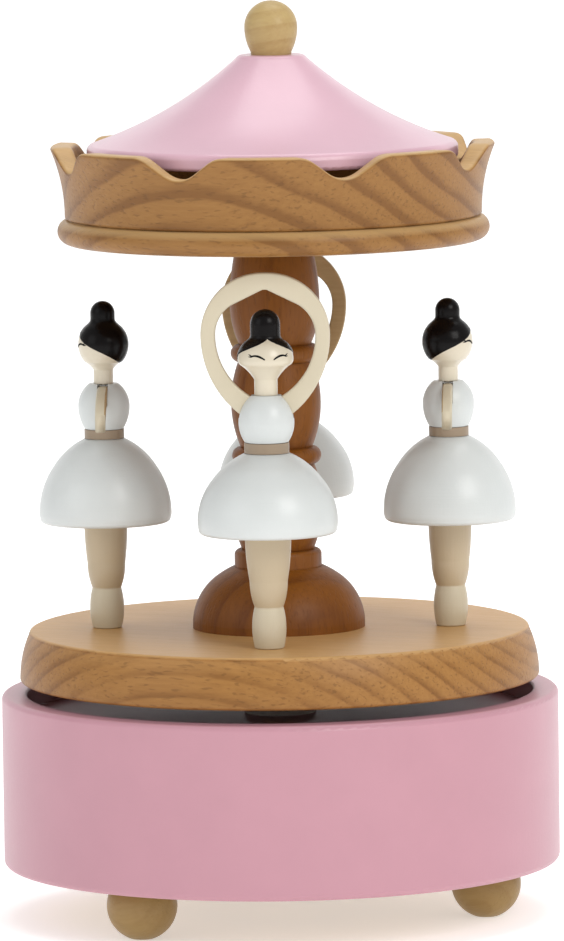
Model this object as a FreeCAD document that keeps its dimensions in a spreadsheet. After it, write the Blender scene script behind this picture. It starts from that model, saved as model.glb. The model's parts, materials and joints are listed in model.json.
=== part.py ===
"""Carousel music box: a drum with a wind-up comb movement that turns a table of four wooden dancers
under a scalloped canopy. Millimetres, +Z up, origin on the ground under the drum, front at -Y."""

import FreeCAD
import Part
import Sketcher
import math
import os
import re

SIZES = {
    # drum and feet
    "foot_ball": 6.9, "foot_below": 6.5, "foot_height": 10.5, "foot_ring": 41.0, "foot_turn": -132.0,
    "foot_peg": 2.0, "foot_peg_long": 3.4,
    "drum_radius": 55.0, "drum_height": 34.0, "drum_wall": 5.0, "drum_edge": 1.1, "drum_recess": 4.5,
    "deck_thick": 5.0, "deck_bore": 4.0, "cavity_radius": 45.0, "cover_radius": 49.0, "cover_thick": 4.0,
    "cover_screw_ring": 46.7, "screw_shank": 1.1, "screw_head": 1.9, "screw_head_high": 1.2,
    "cover_screw_long": 9.0, "sound_hole": 3.0, "sound_ring": 16.0,
    # clearances
    "glue_gap": 0.05, "run_gap": 0.08, "side_gap": 0.2,
    # turntable and its hub
    "table_gap": 2.5, "table_thick": 10.0, "table_radius": 51.3, "table_top_radius": 48.7,
    "table_edge": 0.7, "hub_flange": 9.0, "hub_flange_thick": 1.6, "hub_neck": 3.6, "hub_boss_long": 5.0,
    "hub_screw_ring": 6.3, "washer_radius": 7.0, "washer_thick": 1.0,
    # column
    "tenon_radius": 5.0, "tenon_in_table": 3.5, "dome_radius": 17.0, "dome_foot": 1.5, "dome_rise": 12.4,
    "dome_flat": 8.9, "collar_radius": 8.6, "collar_high": 3.4, "bead_radius": 8.8, "bead_high": 3.5,
    "neck_radius": 7.1, "vase_radius": 8.85, "vase_low": 8.7, "vase_high": 8.1, "top_vase_low": 8.0,
    "top_vase_high": 12.4, "top_neck": 7.2,
    # canopy
    "crown_floor": 6.0, "crown_bore_wall": 41.0, "crown_bead": 42.5, "crown_bead_high": 4.8,
    "crown_lip": 43.9, "crown_high": 19.2, "crown_inside": 37.6, "crown_lip_inside": 39.4,
    "scallops": 8, "scallop_depth": 4.3, "scallop_bottom": 6.0, "scallop_shoulder": 5.0, "scallop_half": 9.6,
    "scallop_slope": 35.0,
    "roof_lift": 16.0, "roof_radius": 36.5, "roof_rim": 2.9, "roof_edge": 0.8, "roof_top_radius": 5.9,
    "roof_high": 20.6, "roof_sweep": 81.0, "roof_socket": 8.0,
    "knob_radius": 5.2, "knob_foot": 3.95, "knob_waist": 5.3, "knob_high": 10.6, "knob_peg": 2.0,
    "knob_peg_long": 6.0,
    # what all dancers share
    "dancer_ring": 34.0, "dancer_turn": -3.2, "leg_peg": 1.5, "leg_peg_long": 4.0, "body_peg": 1.5,
    "body_peg_long": 3.5, "neck_peg": 0.95, "neck_peg_long": 0.3, "waist_radius": 3.45, "sash_gap": 0.1,
    "arm_thick": 2.0, "knee_rise": 5.0, "knee_swell": 0.9, "knee_curve": 14.0, "skirt_edge": 0.9,
    # raised arms: a lemon-shaped ring, with its heights above the turntable
    "ring_half": 12.5, "ring_widest": 60.9, "ring_top": 73.0, "ring_band": 2.8, "ring_hand": 3.1,
    "ring_foot": 4.15, "ring_hole_foot": 2.6, "ring_wrist": 6.5, "ring_wrist_rise": 5.8,
    # lowered arms, with their heights above the turntable
    "arm_reach": 10.4, "arm_hand_low": 39.7, "arm_hand_high": 43.4, "arm_root": 3.6,
    # movement, depths below the bedplate
    "bed_thick": 2.2, "arbor_radius": 1.8, "arbor_in_hub": 4.5, "drive_module": 0.45, "crown_teeth": 48,
    "pinion_teeth": 16, "crown_disc": 0.85, "cylinder_depth": 7.4, "cylinder_radius": 5.8,
    "cylinder_start": 14.0, "cylinder_long": 18.5, "pin_long": 0.45, "pin_radius": 0.2, "notes": 18,
    "note_pitch": 0.95, "axle_radius": 0.8, "housing_radius": 12.0, "housing_wall": 0.8,
    "housing_high": 5.2, "leg_ring": 14.2, "leg_radius": 1.7, "comb_thick": 1.0, "comb_tooth_long": 11.0,
    "comb_body": 7.5, "comb_gap": 0.06, "train_module": 0.3, "gear_teeth": 40, "small_teeth": 8,
    "gear_wide": 1.0, "wheel_arbor": 0.5, "worm_pitch": 1.0, "worm_teeth": 24, "worm_radius": 1.2,
    "worm_turns": 4, "worm_shaft": 0.5, "fan_radius": 3.5, "fan_high": 2.6, "fan_thick": 0.4,
    "bed_screw_long": 6.0, "leg_seat": 1.5, "spring_turns": 6, "spring_thick": 0.35, "beats": 4,
}
# the two figures: the front and back dancers raise their arms, and the side dancers lower them
FIGURES = {
    "raised": {
        "foot_sole": 2.9, "shoe_radius": 3.33, "shoe_at": 4.0, "ankle_radius": 2.8, "ankle_at": 8.1,
        "calf_radius": 4.5, "skirt_radius": 13.6, "skirt_bottom": 22.4, "skirt_belt": 24.6,
        "skirt_top": 38.0, "skirt_top_radius": 4.4, "sash_radius": 4.35, "sash_high": 2.0,
        "torso_bottom_radius": 4.25, "torso_radius": 5.4, "torso_at": 44.0, "torso_top": 49.25,
        "torso_top_radius": 3.0, "yoke_bottom": 44.9, "yoke_top": 48.8, "neck_slim": 2.25,
        "neck_long": 3.05, "chin_radius": 5.0, "chin_at": 55.2, "chin_curve": 9.0, "head_radius": 5.4,
        "head_at": 56.2, "bun_radius": 2.75, "bun_at": 60.0, "dancer_high": 65.7,
    },
    "lowered": {
        "foot_sole": 2.95, "shoe_radius": 3.38, "shoe_at": 4.0, "ankle_radius": 2.85, "ankle_at": 8.0,
        "calf_radius": 4.25, "skirt_radius": 13.05, "skirt_bottom": 21.0, "skirt_belt": 22.8,
        "skirt_top": 37.6, "skirt_top_radius": 3.95, "sash_radius": 3.92, "sash_high": 1.8,
        "torso_bottom_radius": 3.85, "torso_radius": 5.08, "torso_at": 44.0, "torso_top": 48.5,
        "torso_top_radius": 2.9, "yoke_bottom": 44.4, "yoke_top": 48.05, "neck_slim": 1.93,
        "neck_long": 2.7, "chin_radius": 3.6, "chin_at": 52.7, "chin_curve": 4.0, "head_radius": 4.9,
        "head_at": 56.2, "bun_radius": 2.25, "bun_at": 60.3, "dancer_high": 64.6,
    },
}
for figure, its_sizes in FIGURES.items():
    for size_name, size_value in its_sizes.items():
        SIZES[f"{figure}_{size_name}"] = size_value

doc = FreeCAD.newDocument("carousel_music_box")
size = doc.addObject("Spreadsheet::Sheet", "Size")
for row, (alias, value) in enumerate(SIZES.items(), start=1):
    size.set(f"A{row}", alias)
    size.set(f"B{row}", str(value))
    size.setAlias(f"B{row}", alias)
doc.recompute()

Z_AXIS = FreeCAD.Vector(0, 0, 1)
X_AXIS = FreeCAD.Vector(1, 0, 0)
parts = []


def cells(expression):
    """Puts the sheet's name before each alias of an expression written with bare alias names."""
    return re.sub(r"[A-Za-z_]\w*", lambda word: "Size." + word[0] if word[0] in SIZES else word[0],
                  expression)


def own(figure, expression):
    """Changes the names of a figure's own sizes in an expression to that figure's aliases."""
    return re.sub(r"[a-z_]+", lambda word: f"{figure}_{word[0]}" if word[0] in FIGURES[figure] else word[0],
                  expression)


def own_outline(figure, outline):
    return [tuple(own(figure, text) for text in item) for item in outline]


def number(expression):
    """The value of an expression of aliases, in millimetres or degrees."""
    return float(size.evalExpression(cells(str(expression))))


# heights above the ground
DRUM_TOP = "(foot_height + drum_height)"
DECK_TOP = f"({DRUM_TOP} - drum_recess)"
DECK_BOTTOM = f"({DECK_TOP} - deck_thick)"
TABLE_BOTTOM = f"({DRUM_TOP} + table_gap)"
TABLE_TOP = f"({TABLE_BOTTOM} + table_thick)"
DOME_HIGH = "(dome_foot + dome_rise * sqrt(1 - (dome_flat / dome_radius)^2))"
COLUMN_FOOT = f"({TABLE_TOP} + {DOME_HIGH})"
VASE_HIGH = "(vase_low + vase_high)"
COLUMN_HIGH = f"(collar_high + 2 * {VASE_HIGH} + 2 * bead_high + top_vase_low + top_vase_high)"
CANOPY_BOTTOM = f"({COLUMN_FOOT} + {COLUMN_HIGH})"
ROOF_BOTTOM = f"({CANOPY_BOTTOM} + roof_lift)"
# movement: its depths are measured down from the underside of the bedplate
BED_BOTTOM = f"({DECK_BOTTOM} - bed_thick)"
CYLINDER_Z = f"({BED_BOTTOM} - cylinder_depth)"
PINION_RADIUS = "(drive_module * pinion_teeth / 2)"
CROWN_RADIUS = "(drive_module * crown_teeth / 2)"
CROWN_ROOT_DEPTH = f"(cylinder_depth + {PINION_RADIUS} + 1.25 * drive_module)"
HOUSING_DEPTH = f"({CROWN_ROOT_DEPTH} + crown_disc + side_gap)"
GEAR_X = "(cylinder_start + cylinder_long + side_gap)"
POST_X = f"({GEAR_X} + gear_wide + 0.3)"
POST_WIDE = "1.4"
WHEEL_Y = "(train_module * (gear_teeth + small_teeth) / 2)"
WHEEL_X = f"({POST_X} + {POST_WIDE} + 0.8)"
WORM_X = f"({WHEEL_X} + gear_wide / 2)"
WHEEL_PITCH = "(worm_pitch * worm_teeth / (2 * pi))"
WORM_Y = f"({WHEEL_Y} + {WHEEL_PITCH} + worm_radius)"
FRAME_X = f"({WHEEL_X} + gear_wide + 1.0)"
# where the movement is screwed up into the deck
BED_SCREWS = [("-12.5", "-22.5"), ("-12.5", "12.5"), (f"({POST_X} + 0.5)", "-22.5")]


def keep(item, label):
    """Lists an object as a sub-part, under its own label."""
    item.Label = label
    parts.append(item)
    return item


def place(item, x="0", y="0", z="0", turn="0", axis=Z_AXIS):
    """Binds an object's place to the sheet, with a turn in degrees about one axis."""
    item.Placement = FreeCAD.Placement(FreeCAD.Vector(), FreeCAD.Rotation(axis, number(turn)))
    for name, expression in (("x", x), ("y", y), ("z", z)):
        item.setExpression(f"Placement.Base.{name}", cells(expression))
    if turn != "0":
        item.setExpression("Placement.Rotation.Angle", cells(turn))
    return item


def plane(body, role):
    return next(f for f in body.Origin.OriginFeatures if f.Role == role)


def new_sketch(body, role="XZ_Plane"):
    sketch = body.newObject("Sketcher::SketchObject", body.Name + "_sketch")
    sketch.AttachmentSupport = [(plane(body, role), "")]
    sketch.MapMode = "FlatFace"
    return sketch


def pin_point(sketch, geometry, end, across, up):
    """Fixes one point of a sketch at two expressions, measured from the sketch's origin."""
    for kind, axis, expression in (("DistanceX", -2, across), ("DistanceY", -1, up)):
        if expression == "0":
            sketch.addConstraint(Sketcher.Constraint("PointOnObject", geometry, end, axis))
        else:
            pin_one(sketch, kind, geometry, end, expression)


def pin_one(sketch, kind, geometry, end, expression):
    at = sketch.addConstraint(Sketcher.Constraint(kind, -1, 1, geometry, end, number(expression)))
    sketch.setExpression(f"Constraints[{at}]", cells(expression))


def arc_centre(a, b, rule, value):
    """Centre of an arc from a to b: at a given height, over a given point, or at a given radius and side."""
    if rule == "level":
        across = (a.x**2 - b.x**2 + (a.y - value) ** 2 - (b.y - value) ** 2) / (2 * (a.x - b.x))
        return FreeCAD.Vector(across, value, 0)
    if rule == "plumb":
        up = (a.y**2 - b.y**2 + (a.x - value) ** 2 - (b.x - value) ** 2) / (2 * (a.y - b.y))
        return FreeCAD.Vector(value, up, 0)
    middle, chord = (a + b) / 2, b - a
    left = FreeCAD.Vector(-chord.y, chord.x, 0).normalize()
    reach = math.sqrt(max(value**2 - (chord.Length / 2) ** 2, 0.0))
    return middle + left * (reach if rule == "left" else -reach)


def draw(sketch, outline):
    """A closed outline. An item is (across, up), or (across, up, rule, expression) for an arc to there."""
    corners = [FreeCAD.Vector(number(p[0]), number(p[1]), 0) for p in outline]
    ends = []
    for i, item in enumerate(outline):
        start, end = corners[i - 1], corners[i]
        if len(item) == 2:
            g = sketch.addGeometry(Part.LineSegment(start, end))
            ends.append((g, 1, 2))
            continue
        centre = arc_centre(start, end, item[2], number(item[3]))
        first = math.atan2(start.y - centre.y, start.x - centre.x)
        last = math.atan2(end.y - centre.y, end.x - centre.x)
        forward = (last - first) % (2 * math.pi) < math.pi
        span = (first, last) if forward else (last, first)
        circle = Part.Circle(centre, Z_AXIS, (start - centre).Length)
        g = sketch.addGeometry(Part.ArcOfCircle(circle, *span))
        ends.append((g, 1, 2) if forward else (g, 2, 1))
    for i, item in enumerate(outline):
        g, _, stop = ends[i]
        after, begin, _ = ends[(i + 1) % len(ends)]
        sketch.addConstraint(Sketcher.Constraint("Coincident", g, stop, after, begin))
        pin_point(sketch, g, stop, item[0], item[1])
        if len(item) == 2:
            continue
        if item[2] in ("left", "right"):
            at = sketch.addConstraint(Sketcher.Constraint("Radius", g, number(item[3])))
            sketch.setExpression(f"Constraints[{at}]", cells(item[3]))
        else:
            pin_one(sketch, "DistanceY" if item[2] == "level" else "DistanceX", g, 3, item[3])


def new_body(label):
    return keep(doc.addObject("PartDesign::Body", label), label)


def turned(label, outline):
    """A lathe-turned piece: the outline is (radius, height) and is closed by its last item."""
    body = new_body(label)
    sketch = new_sketch(body)
    draw(sketch, outline)
    spin = body.newObject("PartDesign::Revolution", label + "_turned")
    spin.Profile = sketch
    spin.ReferenceAxis = (sketch, ["V_Axis"])
    spin.Angle = 360
    return body


def sawn(label, outline, thick):
    """A flat piece sawn to an outline in its own XZ plane, with its thickness centred on that plane."""
    body = new_body(label)
    sketch = new_sketch(body)
    draw(sketch, outline)
    pad = body.newObject("PartDesign::Pad", label + "_sawn")
    pad.Profile = sketch
    pad.SideType = "Symmetric"
    pad.setExpression("Length", cells(thick))
    return body


def drill(body, x, y, radius, bottom, depth, count="1", name="hole"):
    """Round holes up from a height in a body, patterned round its axis."""
    sketch = new_sketch(body, "XY_Plane")
    sketch.setExpression("AttachmentOffset.Base.z", cells(bottom))
    circle = Part.Circle(FreeCAD.Vector(number(x), number(y), 0), Z_AXIS, number(radius))
    g = sketch.addGeometry(circle)
    pin_point(sketch, g, 3, x, y)
    at = sketch.addConstraint(Sketcher.Constraint("Radius", g, number(radius)))
    sketch.setExpression(f"Constraints[{at}]", cells(radius))
    pocket = body.newObject("PartDesign::Pocket", f"{body.Name}_{name}")
    pocket.Profile = sketch
    pocket.Reversed = True
    pocket.setExpression("Length", cells(depth))
    if count == "1":
        return pocket
    ring = body.newObject("PartDesign::PolarPattern", f"{body.Name}_{name}_ring")
    ring.Originals = [pocket]
    ring.Axis = (plane(body, "Z_Axis"), [""])
    ring.Angle = 360
    ring.setExpression("Occurrences", cells(count))
    body.Tip = ring
    return ring


def moved(shape, x=0.0, y=0.0, z=0.0, turn=0.0, axis=Z_AXIS):
    """A copy of a shape, turned about an axis through the origin and then shifted."""
    copy = shape.copy()
    step = FreeCAD.Placement(FreeCAD.Vector(x, y, z), FreeCAD.Rotation(axis, turn))
    copy.Placement = step.multiply(copy.Placement)
    return copy


def solid_part(label, shape):
    """A sub-part whose shape is made with Part's own functions."""
    feature = doc.addObject("Part::Feature", label)
    feature.Shape = shape.removeSplitter()
    return keep(feature, label)


def rod(radius, low, high, x=0.0, y=0.0):
    return Part.makeCylinder(radius, high - low, FreeCAD.Vector(x, y, low))


def axle(radius, start, end, y, z):
    """A round bar along X."""
    return Part.makeCylinder(radius, end - start, FreeCAD.Vector(start, y, z), X_AXIS)


def screw(long):
    """A pan-head wood screw, head down, with its shank up from the origin and a cross slot in its head."""
    shank, head, high = number("screw_shank"), number("screw_head"), number("screw_head_high")
    point = Part.makeCone(shank, 0.2, 2 * shank, FreeCAD.Vector(0, 0, long - 2 * shank))
    top = Part.makeCone(0.75 * head, head, high, FreeCAD.Vector(0, 0, -high))
    body = rod(shank, 0, long - 2 * shank).multiFuse([point, top])
    for turn in (0, 90):
        slot = Part.makeBox(head * 1.2, 0.4, 0.5, FreeCAD.Vector(-head * 0.6, -0.2, -high))
        body = body.cut(moved(slot, turn=turn))
    return body


def ring_of(shape, count, radius, z, turn=0.0):
    """Copies of a shape round the Z axis, as one group of separate solids."""
    copies = []
    for i in range(count):
        angle = math.radians(turn + 360.0 * i / count)
        copies.append(moved(shape, radius * math.cos(angle), radius * math.sin(angle), z))
    return Part.makeCompound(copies)


# ---------------------------------------------------------------- drum, cover and feet


def build_drum():
    inner = "(drum_radius - drum_wall)"
    deck = "(drum_height - drum_recess - deck_thick)"
    drum = turned("base_drum", [
        ("cover_radius + glue_gap", "0"),
        ("drum_radius - drum_edge", "0"),
        ("drum_radius", "drum_edge", "level", "drum_edge"),
        ("drum_radius", "drum_height - drum_edge"),
        ("drum_radius - drum_edge", "drum_height", "level", "drum_height - drum_edge"),
        (f"{inner} + 0.5", "drum_height"),
        (inner, "drum_height - 0.5", "level", "drum_height - 0.5"),
        (inner, f"{deck} + deck_thick"),
        ("deck_bore", f"{deck} + deck_thick"),
        ("deck_bore", deck),
        ("cavity_radius", deck),
        ("cavity_radius", "cover_thick"),
        ("cover_radius + glue_gap", "cover_thick"),
    ])
    drill(drum, "cover_screw_ring", "0", "screw_shank + glue_gap", "cover_thick",
          "cover_screw_long - cover_thick + 0.5", "3", "screw_hole")
    for i, (x, y) in enumerate(BED_SCREWS):
        drill(drum, x, y, "screw_shank + glue_gap", deck, "bed_screw_long - bed_thick + 0.5",
              name=f"pilot_{i}")
    place(drum, z="foot_height")


def build_cover():
    cover = turned("bottom_cover", [
        ("0", "0"), ("cover_radius", "0"), ("cover_radius", "cover_thick - glue_gap"),
        ("0", "cover_thick - glue_gap"),
    ])
    drill(cover, "cover_screw_ring", "0", "screw_shank + glue_gap", "0", "cover_thick", "3", "screw_hole")
    drill(cover, "cover_screw_ring", "0", "screw_head + glue_gap", "0", "screw_head_high + glue_gap", "3",
          "screw_seat")
    drill(cover, "sound_ring", "0", "sound_hole", "0", "cover_thick", "6", "sound_hole")
    drill(cover, "foot_ring * cos(foot_turn)", "foot_ring * sin(foot_turn)", "foot_peg + glue_gap", "0",
          "cover_thick", "3", "foot_hole")
    place(cover, z="foot_height")
    solid_part("cover_screws", ring_of(screw(number("cover_screw_long - screw_head_high")), 3,
                                       number("cover_screw_ring"), number("foot_height + screw_head_high")))


def build_feet():
    flat = "sqrt(foot_ball^2 - foot_below^2)"
    above = "(foot_height - foot_below)"
    for i, side in enumerate(("front_left", "right", "back_left")):
        foot = turned(f"foot_{side}", [
            ("0", "0"), (flat, "0"),
            ("foot_ball", "foot_below", "level", "foot_below"),
            (f"sqrt(foot_ball^2 - {above}^2)", "foot_height", "level", "foot_below"),
            ("foot_peg", "foot_height"), ("foot_peg", "foot_height + foot_peg_long"),
            ("0", "foot_height + foot_peg_long"),
        ])
        turn = f"(foot_turn + {120 * i})"
        place(foot, f"foot_ring * cos({turn})", f"foot_ring * sin({turn})")


# ---------------------------------------------------------------- turntable, column and canopy


def build_turntable():
    table = turned("turntable", [
        ("hub_neck + glue_gap", "0"),
        ("table_radius - table_edge", "0"),
        ("table_radius", "table_edge", "level", "table_edge"),
        ("table_top_radius + table_edge", "table_thick - table_edge", "left", "2.2 * table_thick"),
        ("table_top_radius", "table_thick", "plumb", "table_top_radius"),
        ("tenon_radius + glue_gap", "table_thick"),
        ("tenon_radius + glue_gap", "table_thick - tenon_in_table"),
        ("0", "table_thick - tenon_in_table"),
        ("0", "hub_boss_long + glue_gap"),
        ("hub_neck + glue_gap", "hub_boss_long + glue_gap"),
    ])
    drill(table, "dancer_ring * cos(dancer_turn)", "dancer_ring * sin(dancer_turn)",
          "leg_peg + glue_gap", "table_thick - leg_peg_long - glue_gap", "leg_peg_long + 1", "4", "leg_hole")
    drill(table, "hub_screw_ring", "0", "screw_shank * 0.7 + glue_gap", "0", "5", "3", "screw_hole")
    place(table, z=TABLE_BOTTOM)


def build_hub():
    low = "(drum_recess - washer_thick - run_gap + table_gap)"
    hub = turned("threaded_hub", [
        ("arbor_radius + glue_gap", "0"), ("hub_neck", "0"),
        ("hub_neck", f"{low} - hub_flange_thick"), ("hub_flange", f"{low} - hub_flange_thick"),
        ("hub_flange", low), ("hub_neck", low), ("hub_neck", f"{low} + hub_boss_long"),
        ("arbor_radius + glue_gap", f"{low} + hub_boss_long"),
    ])
    drill(hub, "hub_screw_ring", "0", "screw_shank * 0.7 + glue_gap", f"{low} - hub_flange_thick",
          "hub_flange_thick + 1", "3", "screw_hole")
    place(hub, z=f"{DECK_TOP} + washer_thick + run_gap")
    washer = turned("thrust_washer", [
        ("arbor_radius + 4 * run_gap", "0"), ("washer_radius", "0"), ("washer_radius", "washer_thick"),
        ("arbor_radius + 4 * run_gap", "washer_thick"),
    ])
    place(washer, z=DECK_TOP)
    small = screw(number("hub_flange_thick") / 0.7 + 5.0)
    small.scale(0.7)
    solid_part("hub_screws", ring_of(small, 3, number("hub_screw_ring"),
                                     number(f"{TABLE_BOTTOM} - hub_flange_thick")))


def build_column():
    dome = turned("column_dome", [
        ("tenon_radius + glue_gap", "0"), ("dome_radius", "0"), ("dome_radius", "dome_foot"),
        ("dome_radius * sin(45)", "dome_foot + dome_rise * cos(45)", "level", "dome_foot - 0.8"),
        ("dome_flat", DOME_HIGH, "left", "dome_radius * 1.1"),
        ("tenon_radius + glue_gap", DOME_HIGH),
    ])
    place(dome, z=TABLE_TOP)
    outline = [
        ("0", "0"), ("tenon_radius", "0"), ("tenon_radius", f"tenon_in_table + {DOME_HIGH} - glue_gap"),
    ]
    foot = f"(tenon_in_table + {DOME_HIGH} - glue_gap)"
    outline += [
        ("collar_radius", foot),
        ("collar_radius", f"{foot} + collar_high - 1"),
        ("collar_radius - 1", f"{foot} + collar_high", "level", f"{foot} + collar_high - 1"),
        ("neck_radius", f"{foot} + collar_high"),
    ]
    low = f"({foot} + collar_high)"
    for _ in range(2):
        outline += [
            ("vase_radius", f"{low} + vase_low", "level", f"{low} + vase_low"),
            ("neck_radius + 0.3", f"{low} + vase_low + vase_high", "level", f"{low} + vase_low"),
            ("bead_radius - bead_high / 2", f"{low} + vase_low + vase_high"),
            ("bead_radius", f"{low} + vase_low + vase_high + bead_high / 2", "level",
             f"{low} + vase_low + vase_high + bead_high / 2"),
            ("bead_radius - bead_high / 2", f"{low} + vase_low + vase_high + bead_high", "level",
             f"{low} + vase_low + vase_high + bead_high / 2"),
            ("neck_radius", f"{low} + vase_low + vase_high + bead_high"),
        ]
        low = f"({low} + vase_low + vase_high + bead_high)"
    top = f"({low} + top_vase_low + top_vase_high)"
    outline += [
        ("vase_radius", f"{low} + top_vase_low", "level", f"{low} + top_vase_low"),
        ("top_neck", top, "level", f"{low} + top_vase_low"),
        ("tenon_radius", top),
        ("tenon_radius", f"{top} + roof_lift + roof_socket - glue_gap"),
        ("0", f"{top} + roof_lift + roof_socket - glue_gap"),
    ]
    place(turned("column", outline), z=f"{TABLE_TOP} - tenon_in_table + glue_gap")


def build_crown():
    half = "crown_bead_high / 2"
    crown = turned("canopy_crown", [
        ("tenon_radius + glue_gap", "0"),
        (f"crown_bead - {half}", "0"),
        ("crown_bead", half, "level", half),
        (f"crown_bead - {half}", "crown_bead_high", "level", half),
        ("crown_bore_wall", "crown_bead_high + 0.4"),
        ("crown_lip", "crown_high - 2", "right", "crown_high * 1.3"),
        ("crown_lip - 2", "crown_high", "plumb", "crown_lip - 2"),
        ("crown_lip_inside + 1", "crown_high"),
        ("crown_lip_inside", "crown_high - 1", "plumb", "crown_lip_inside + 1"),
        ("crown_inside", "crown_floor + 3"),
        ("crown_inside", "crown_floor"),
        ("tenon_radius + glue_gap", "crown_floor"),
    ])
    sketch = new_sketch(crown)
    top = "(crown_high + 3)"
    bend_x = "(scallop_half - scallop_shoulder * sin(scallop_slope))"
    bend_z = "(crown_high - scallop_shoulder * (1 - cos(scallop_slope)))"
    dip_x = "(scallop_bottom * sin(scallop_slope))"
    dip_z = "(crown_high - scallop_depth + scallop_bottom * (1 - cos(scallop_slope)))"
    # the waste of one scallop, drawn to the right of the sketch's axis so that each distance is positive
    draw(sketch, [
        ("20 + scallop_half", top),
        ("20 - scallop_half", top),
        ("20 - scallop_half", "crown_high"),
        (f"20 - {bend_x}", bend_z, "right", "scallop_shoulder"),
        (f"20 - {dip_x}", dip_z),
        (f"20 + {dip_x}", dip_z, "left", "scallop_bottom"),
        (f"20 + {bend_x}", bend_z),
        ("20 + scallop_half", "crown_high", "right", "scallop_shoulder"),
    ])
    sketch.setExpression("AttachmentOffset.Base.x", "-20")
    cut = crown.newObject("PartDesign::Pocket", "scallop")
    cut.Profile = sketch
    cut.Length = 60
    cut.Reversed = True
    ring = crown.newObject("PartDesign::PolarPattern", "scallop_ring")
    ring.Originals = [cut]
    ring.Axis = (plane(crown, "Z_Axis"), [""])
    ring.Angle = 360
    ring.setExpression("Occurrences", cells("scallops"))
    crown.Tip = ring
    place(crown, z=CANOPY_BOTTOM, turn="dancer_turn + 180 / scallops")


def build_roof():
    roof = turned("canopy_roof", [
        ("tenon_radius + glue_gap", "0"),
        ("roof_radius - roof_edge", "0"),
        ("roof_radius", "roof_edge", "level", "roof_edge"),
        ("roof_radius", "roof_rim - roof_edge"),
        ("roof_radius - roof_edge", "roof_rim + 0.5", "level", "roof_rim - roof_edge"),
        ("roof_top_radius + 1", "roof_high - 0.6", "right", "roof_sweep"),
        ("roof_top_radius", "roof_high", "plumb", "roof_top_radius - 0.1"),
        ("knob_peg + glue_gap", "roof_high"),
        ("knob_peg + glue_gap", "roof_high - knob_peg_long - glue_gap"),
        ("0", "roof_high - knob_peg_long - glue_gap"),
        ("0", "roof_socket"),
        ("tenon_radius + glue_gap", "roof_socket"),
    ])
    place(roof, z=ROOF_BOTTOM)
    knob = turned("finial_knob", [
        ("0", "0"), ("knob_peg", "0"), ("knob_peg", "knob_peg_long"), ("knob_foot", "knob_peg_long"),
        ("knob_foot + 0.1", "knob_peg_long + 0.6"),
        ("knob_radius", "knob_peg_long + knob_waist", "level", "knob_peg_long + knob_waist"),
        ("0", "knob_peg_long + knob_high", "plumb", "0"),
    ])
    place(knob, z=f"{ROOF_BOTTOM} + roof_high - knob_peg_long")


# ---------------------------------------------------------------- dancers


def dancer_legs(name, figure):
    top = "(leg_peg_long + skirt_bottom)"
    return turned(f"{name}_legs", own_outline(figure, [
        ("0", "0"), ("leg_peg", "0"), ("leg_peg", "leg_peg_long"), ("foot_sole - 0.4", "leg_peg_long"),
        ("foot_sole", "leg_peg_long + 0.4", "level", "leg_peg_long + 0.4"),
        ("shoe_radius", "leg_peg_long + shoe_at", "level", "leg_peg_long + shoe_at"),
        ("ankle_radius", "leg_peg_long + ankle_at", "level", "leg_peg_long + shoe_at"),
        ("ankle_radius + knee_swell", "leg_peg_long + ankle_at + knee_rise", "left", "knee_curve"),
        ("calf_radius", top, "level", top),
        ("body_peg", top),
        ("body_peg", f"{top} + body_peg_long"),
        ("0", f"{top} + body_peg_long"),
    ]))


def dancer_skirt(name, figure):
    rise, belt, top = "(skirt_top - skirt_belt)", "(skirt_belt - skirt_bottom)", "(skirt_top - skirt_bottom)"
    return turned(f"{name}_skirt", own_outline(figure, [
        ("body_peg + glue_gap", "0"),
        ("skirt_radius - skirt_edge - 0.2", "0"),
        ("skirt_radius - 0.15", "skirt_edge", "level", "skirt_edge"),
        ("skirt_radius", belt, "level", belt),
        ("skirt_radius * sin(50)", f"{belt} + {rise} * cos(50)", "level", belt),
        ("skirt_top_radius", top, "left", "skirt_radius * 1.12"),
        ("body_peg + glue_gap", top),
        ("body_peg + glue_gap", f"{top} - body_peg_long - glue_gap"),
        ("0", f"{top} - body_peg_long - glue_gap"),
        ("0", "body_peg_long + glue_gap"),
        ("body_peg + glue_gap", "body_peg_long + glue_gap"),
    ]))


def dancer_torso(name, figure):
    base = "(body_peg_long - glue_gap)"
    waist = f"({base} + sash_high + 2 * sash_gap)"
    lift = f"({base} - skirt_top)"
    torso = turned(f"{name}_torso", own_outline(figure, [
        ("0", "0"), ("body_peg", "0"), ("body_peg", base), ("waist_radius", base),
        ("waist_radius", waist),
        ("torso_bottom_radius", waist),
        ("torso_radius", f"{lift} + torso_at", "level", f"{lift} + torso_at"),
        ("torso_top_radius", f"{lift} + torso_top", "level", f"{lift} + torso_at"),
        ("0", f"{lift} + torso_top"),
    ]))
    slot = new_sketch(torso, "YZ_Plane")
    slot.setExpression("AttachmentOffset.Base.x", "-10")
    low, high = f"({lift} + yoke_bottom - glue_gap)", f"({lift} + torso_top + 2)"
    start, end = "10 - (arm_thick / 2 + glue_gap)", "10 + (arm_thick / 2 + glue_gap)"
    draw(slot, own_outline(figure, [(start, low), (end, low), (end, high), (start, high)]))
    cut = torso.newObject("PartDesign::Pocket", f"{name}_slot")
    cut.Profile = slot
    cut.Length = 30
    cut.SideType = "Symmetric"
    return torso


def dancer_sash(name, figure):
    return turned(f"{name}_sash", own_outline(figure, [
        ("waist_radius + glue_gap", "0"), ("sash_radius", "0"), ("sash_radius", "sash_high"),
        ("waist_radius + glue_gap", "sash_high"),
    ]))


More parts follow.
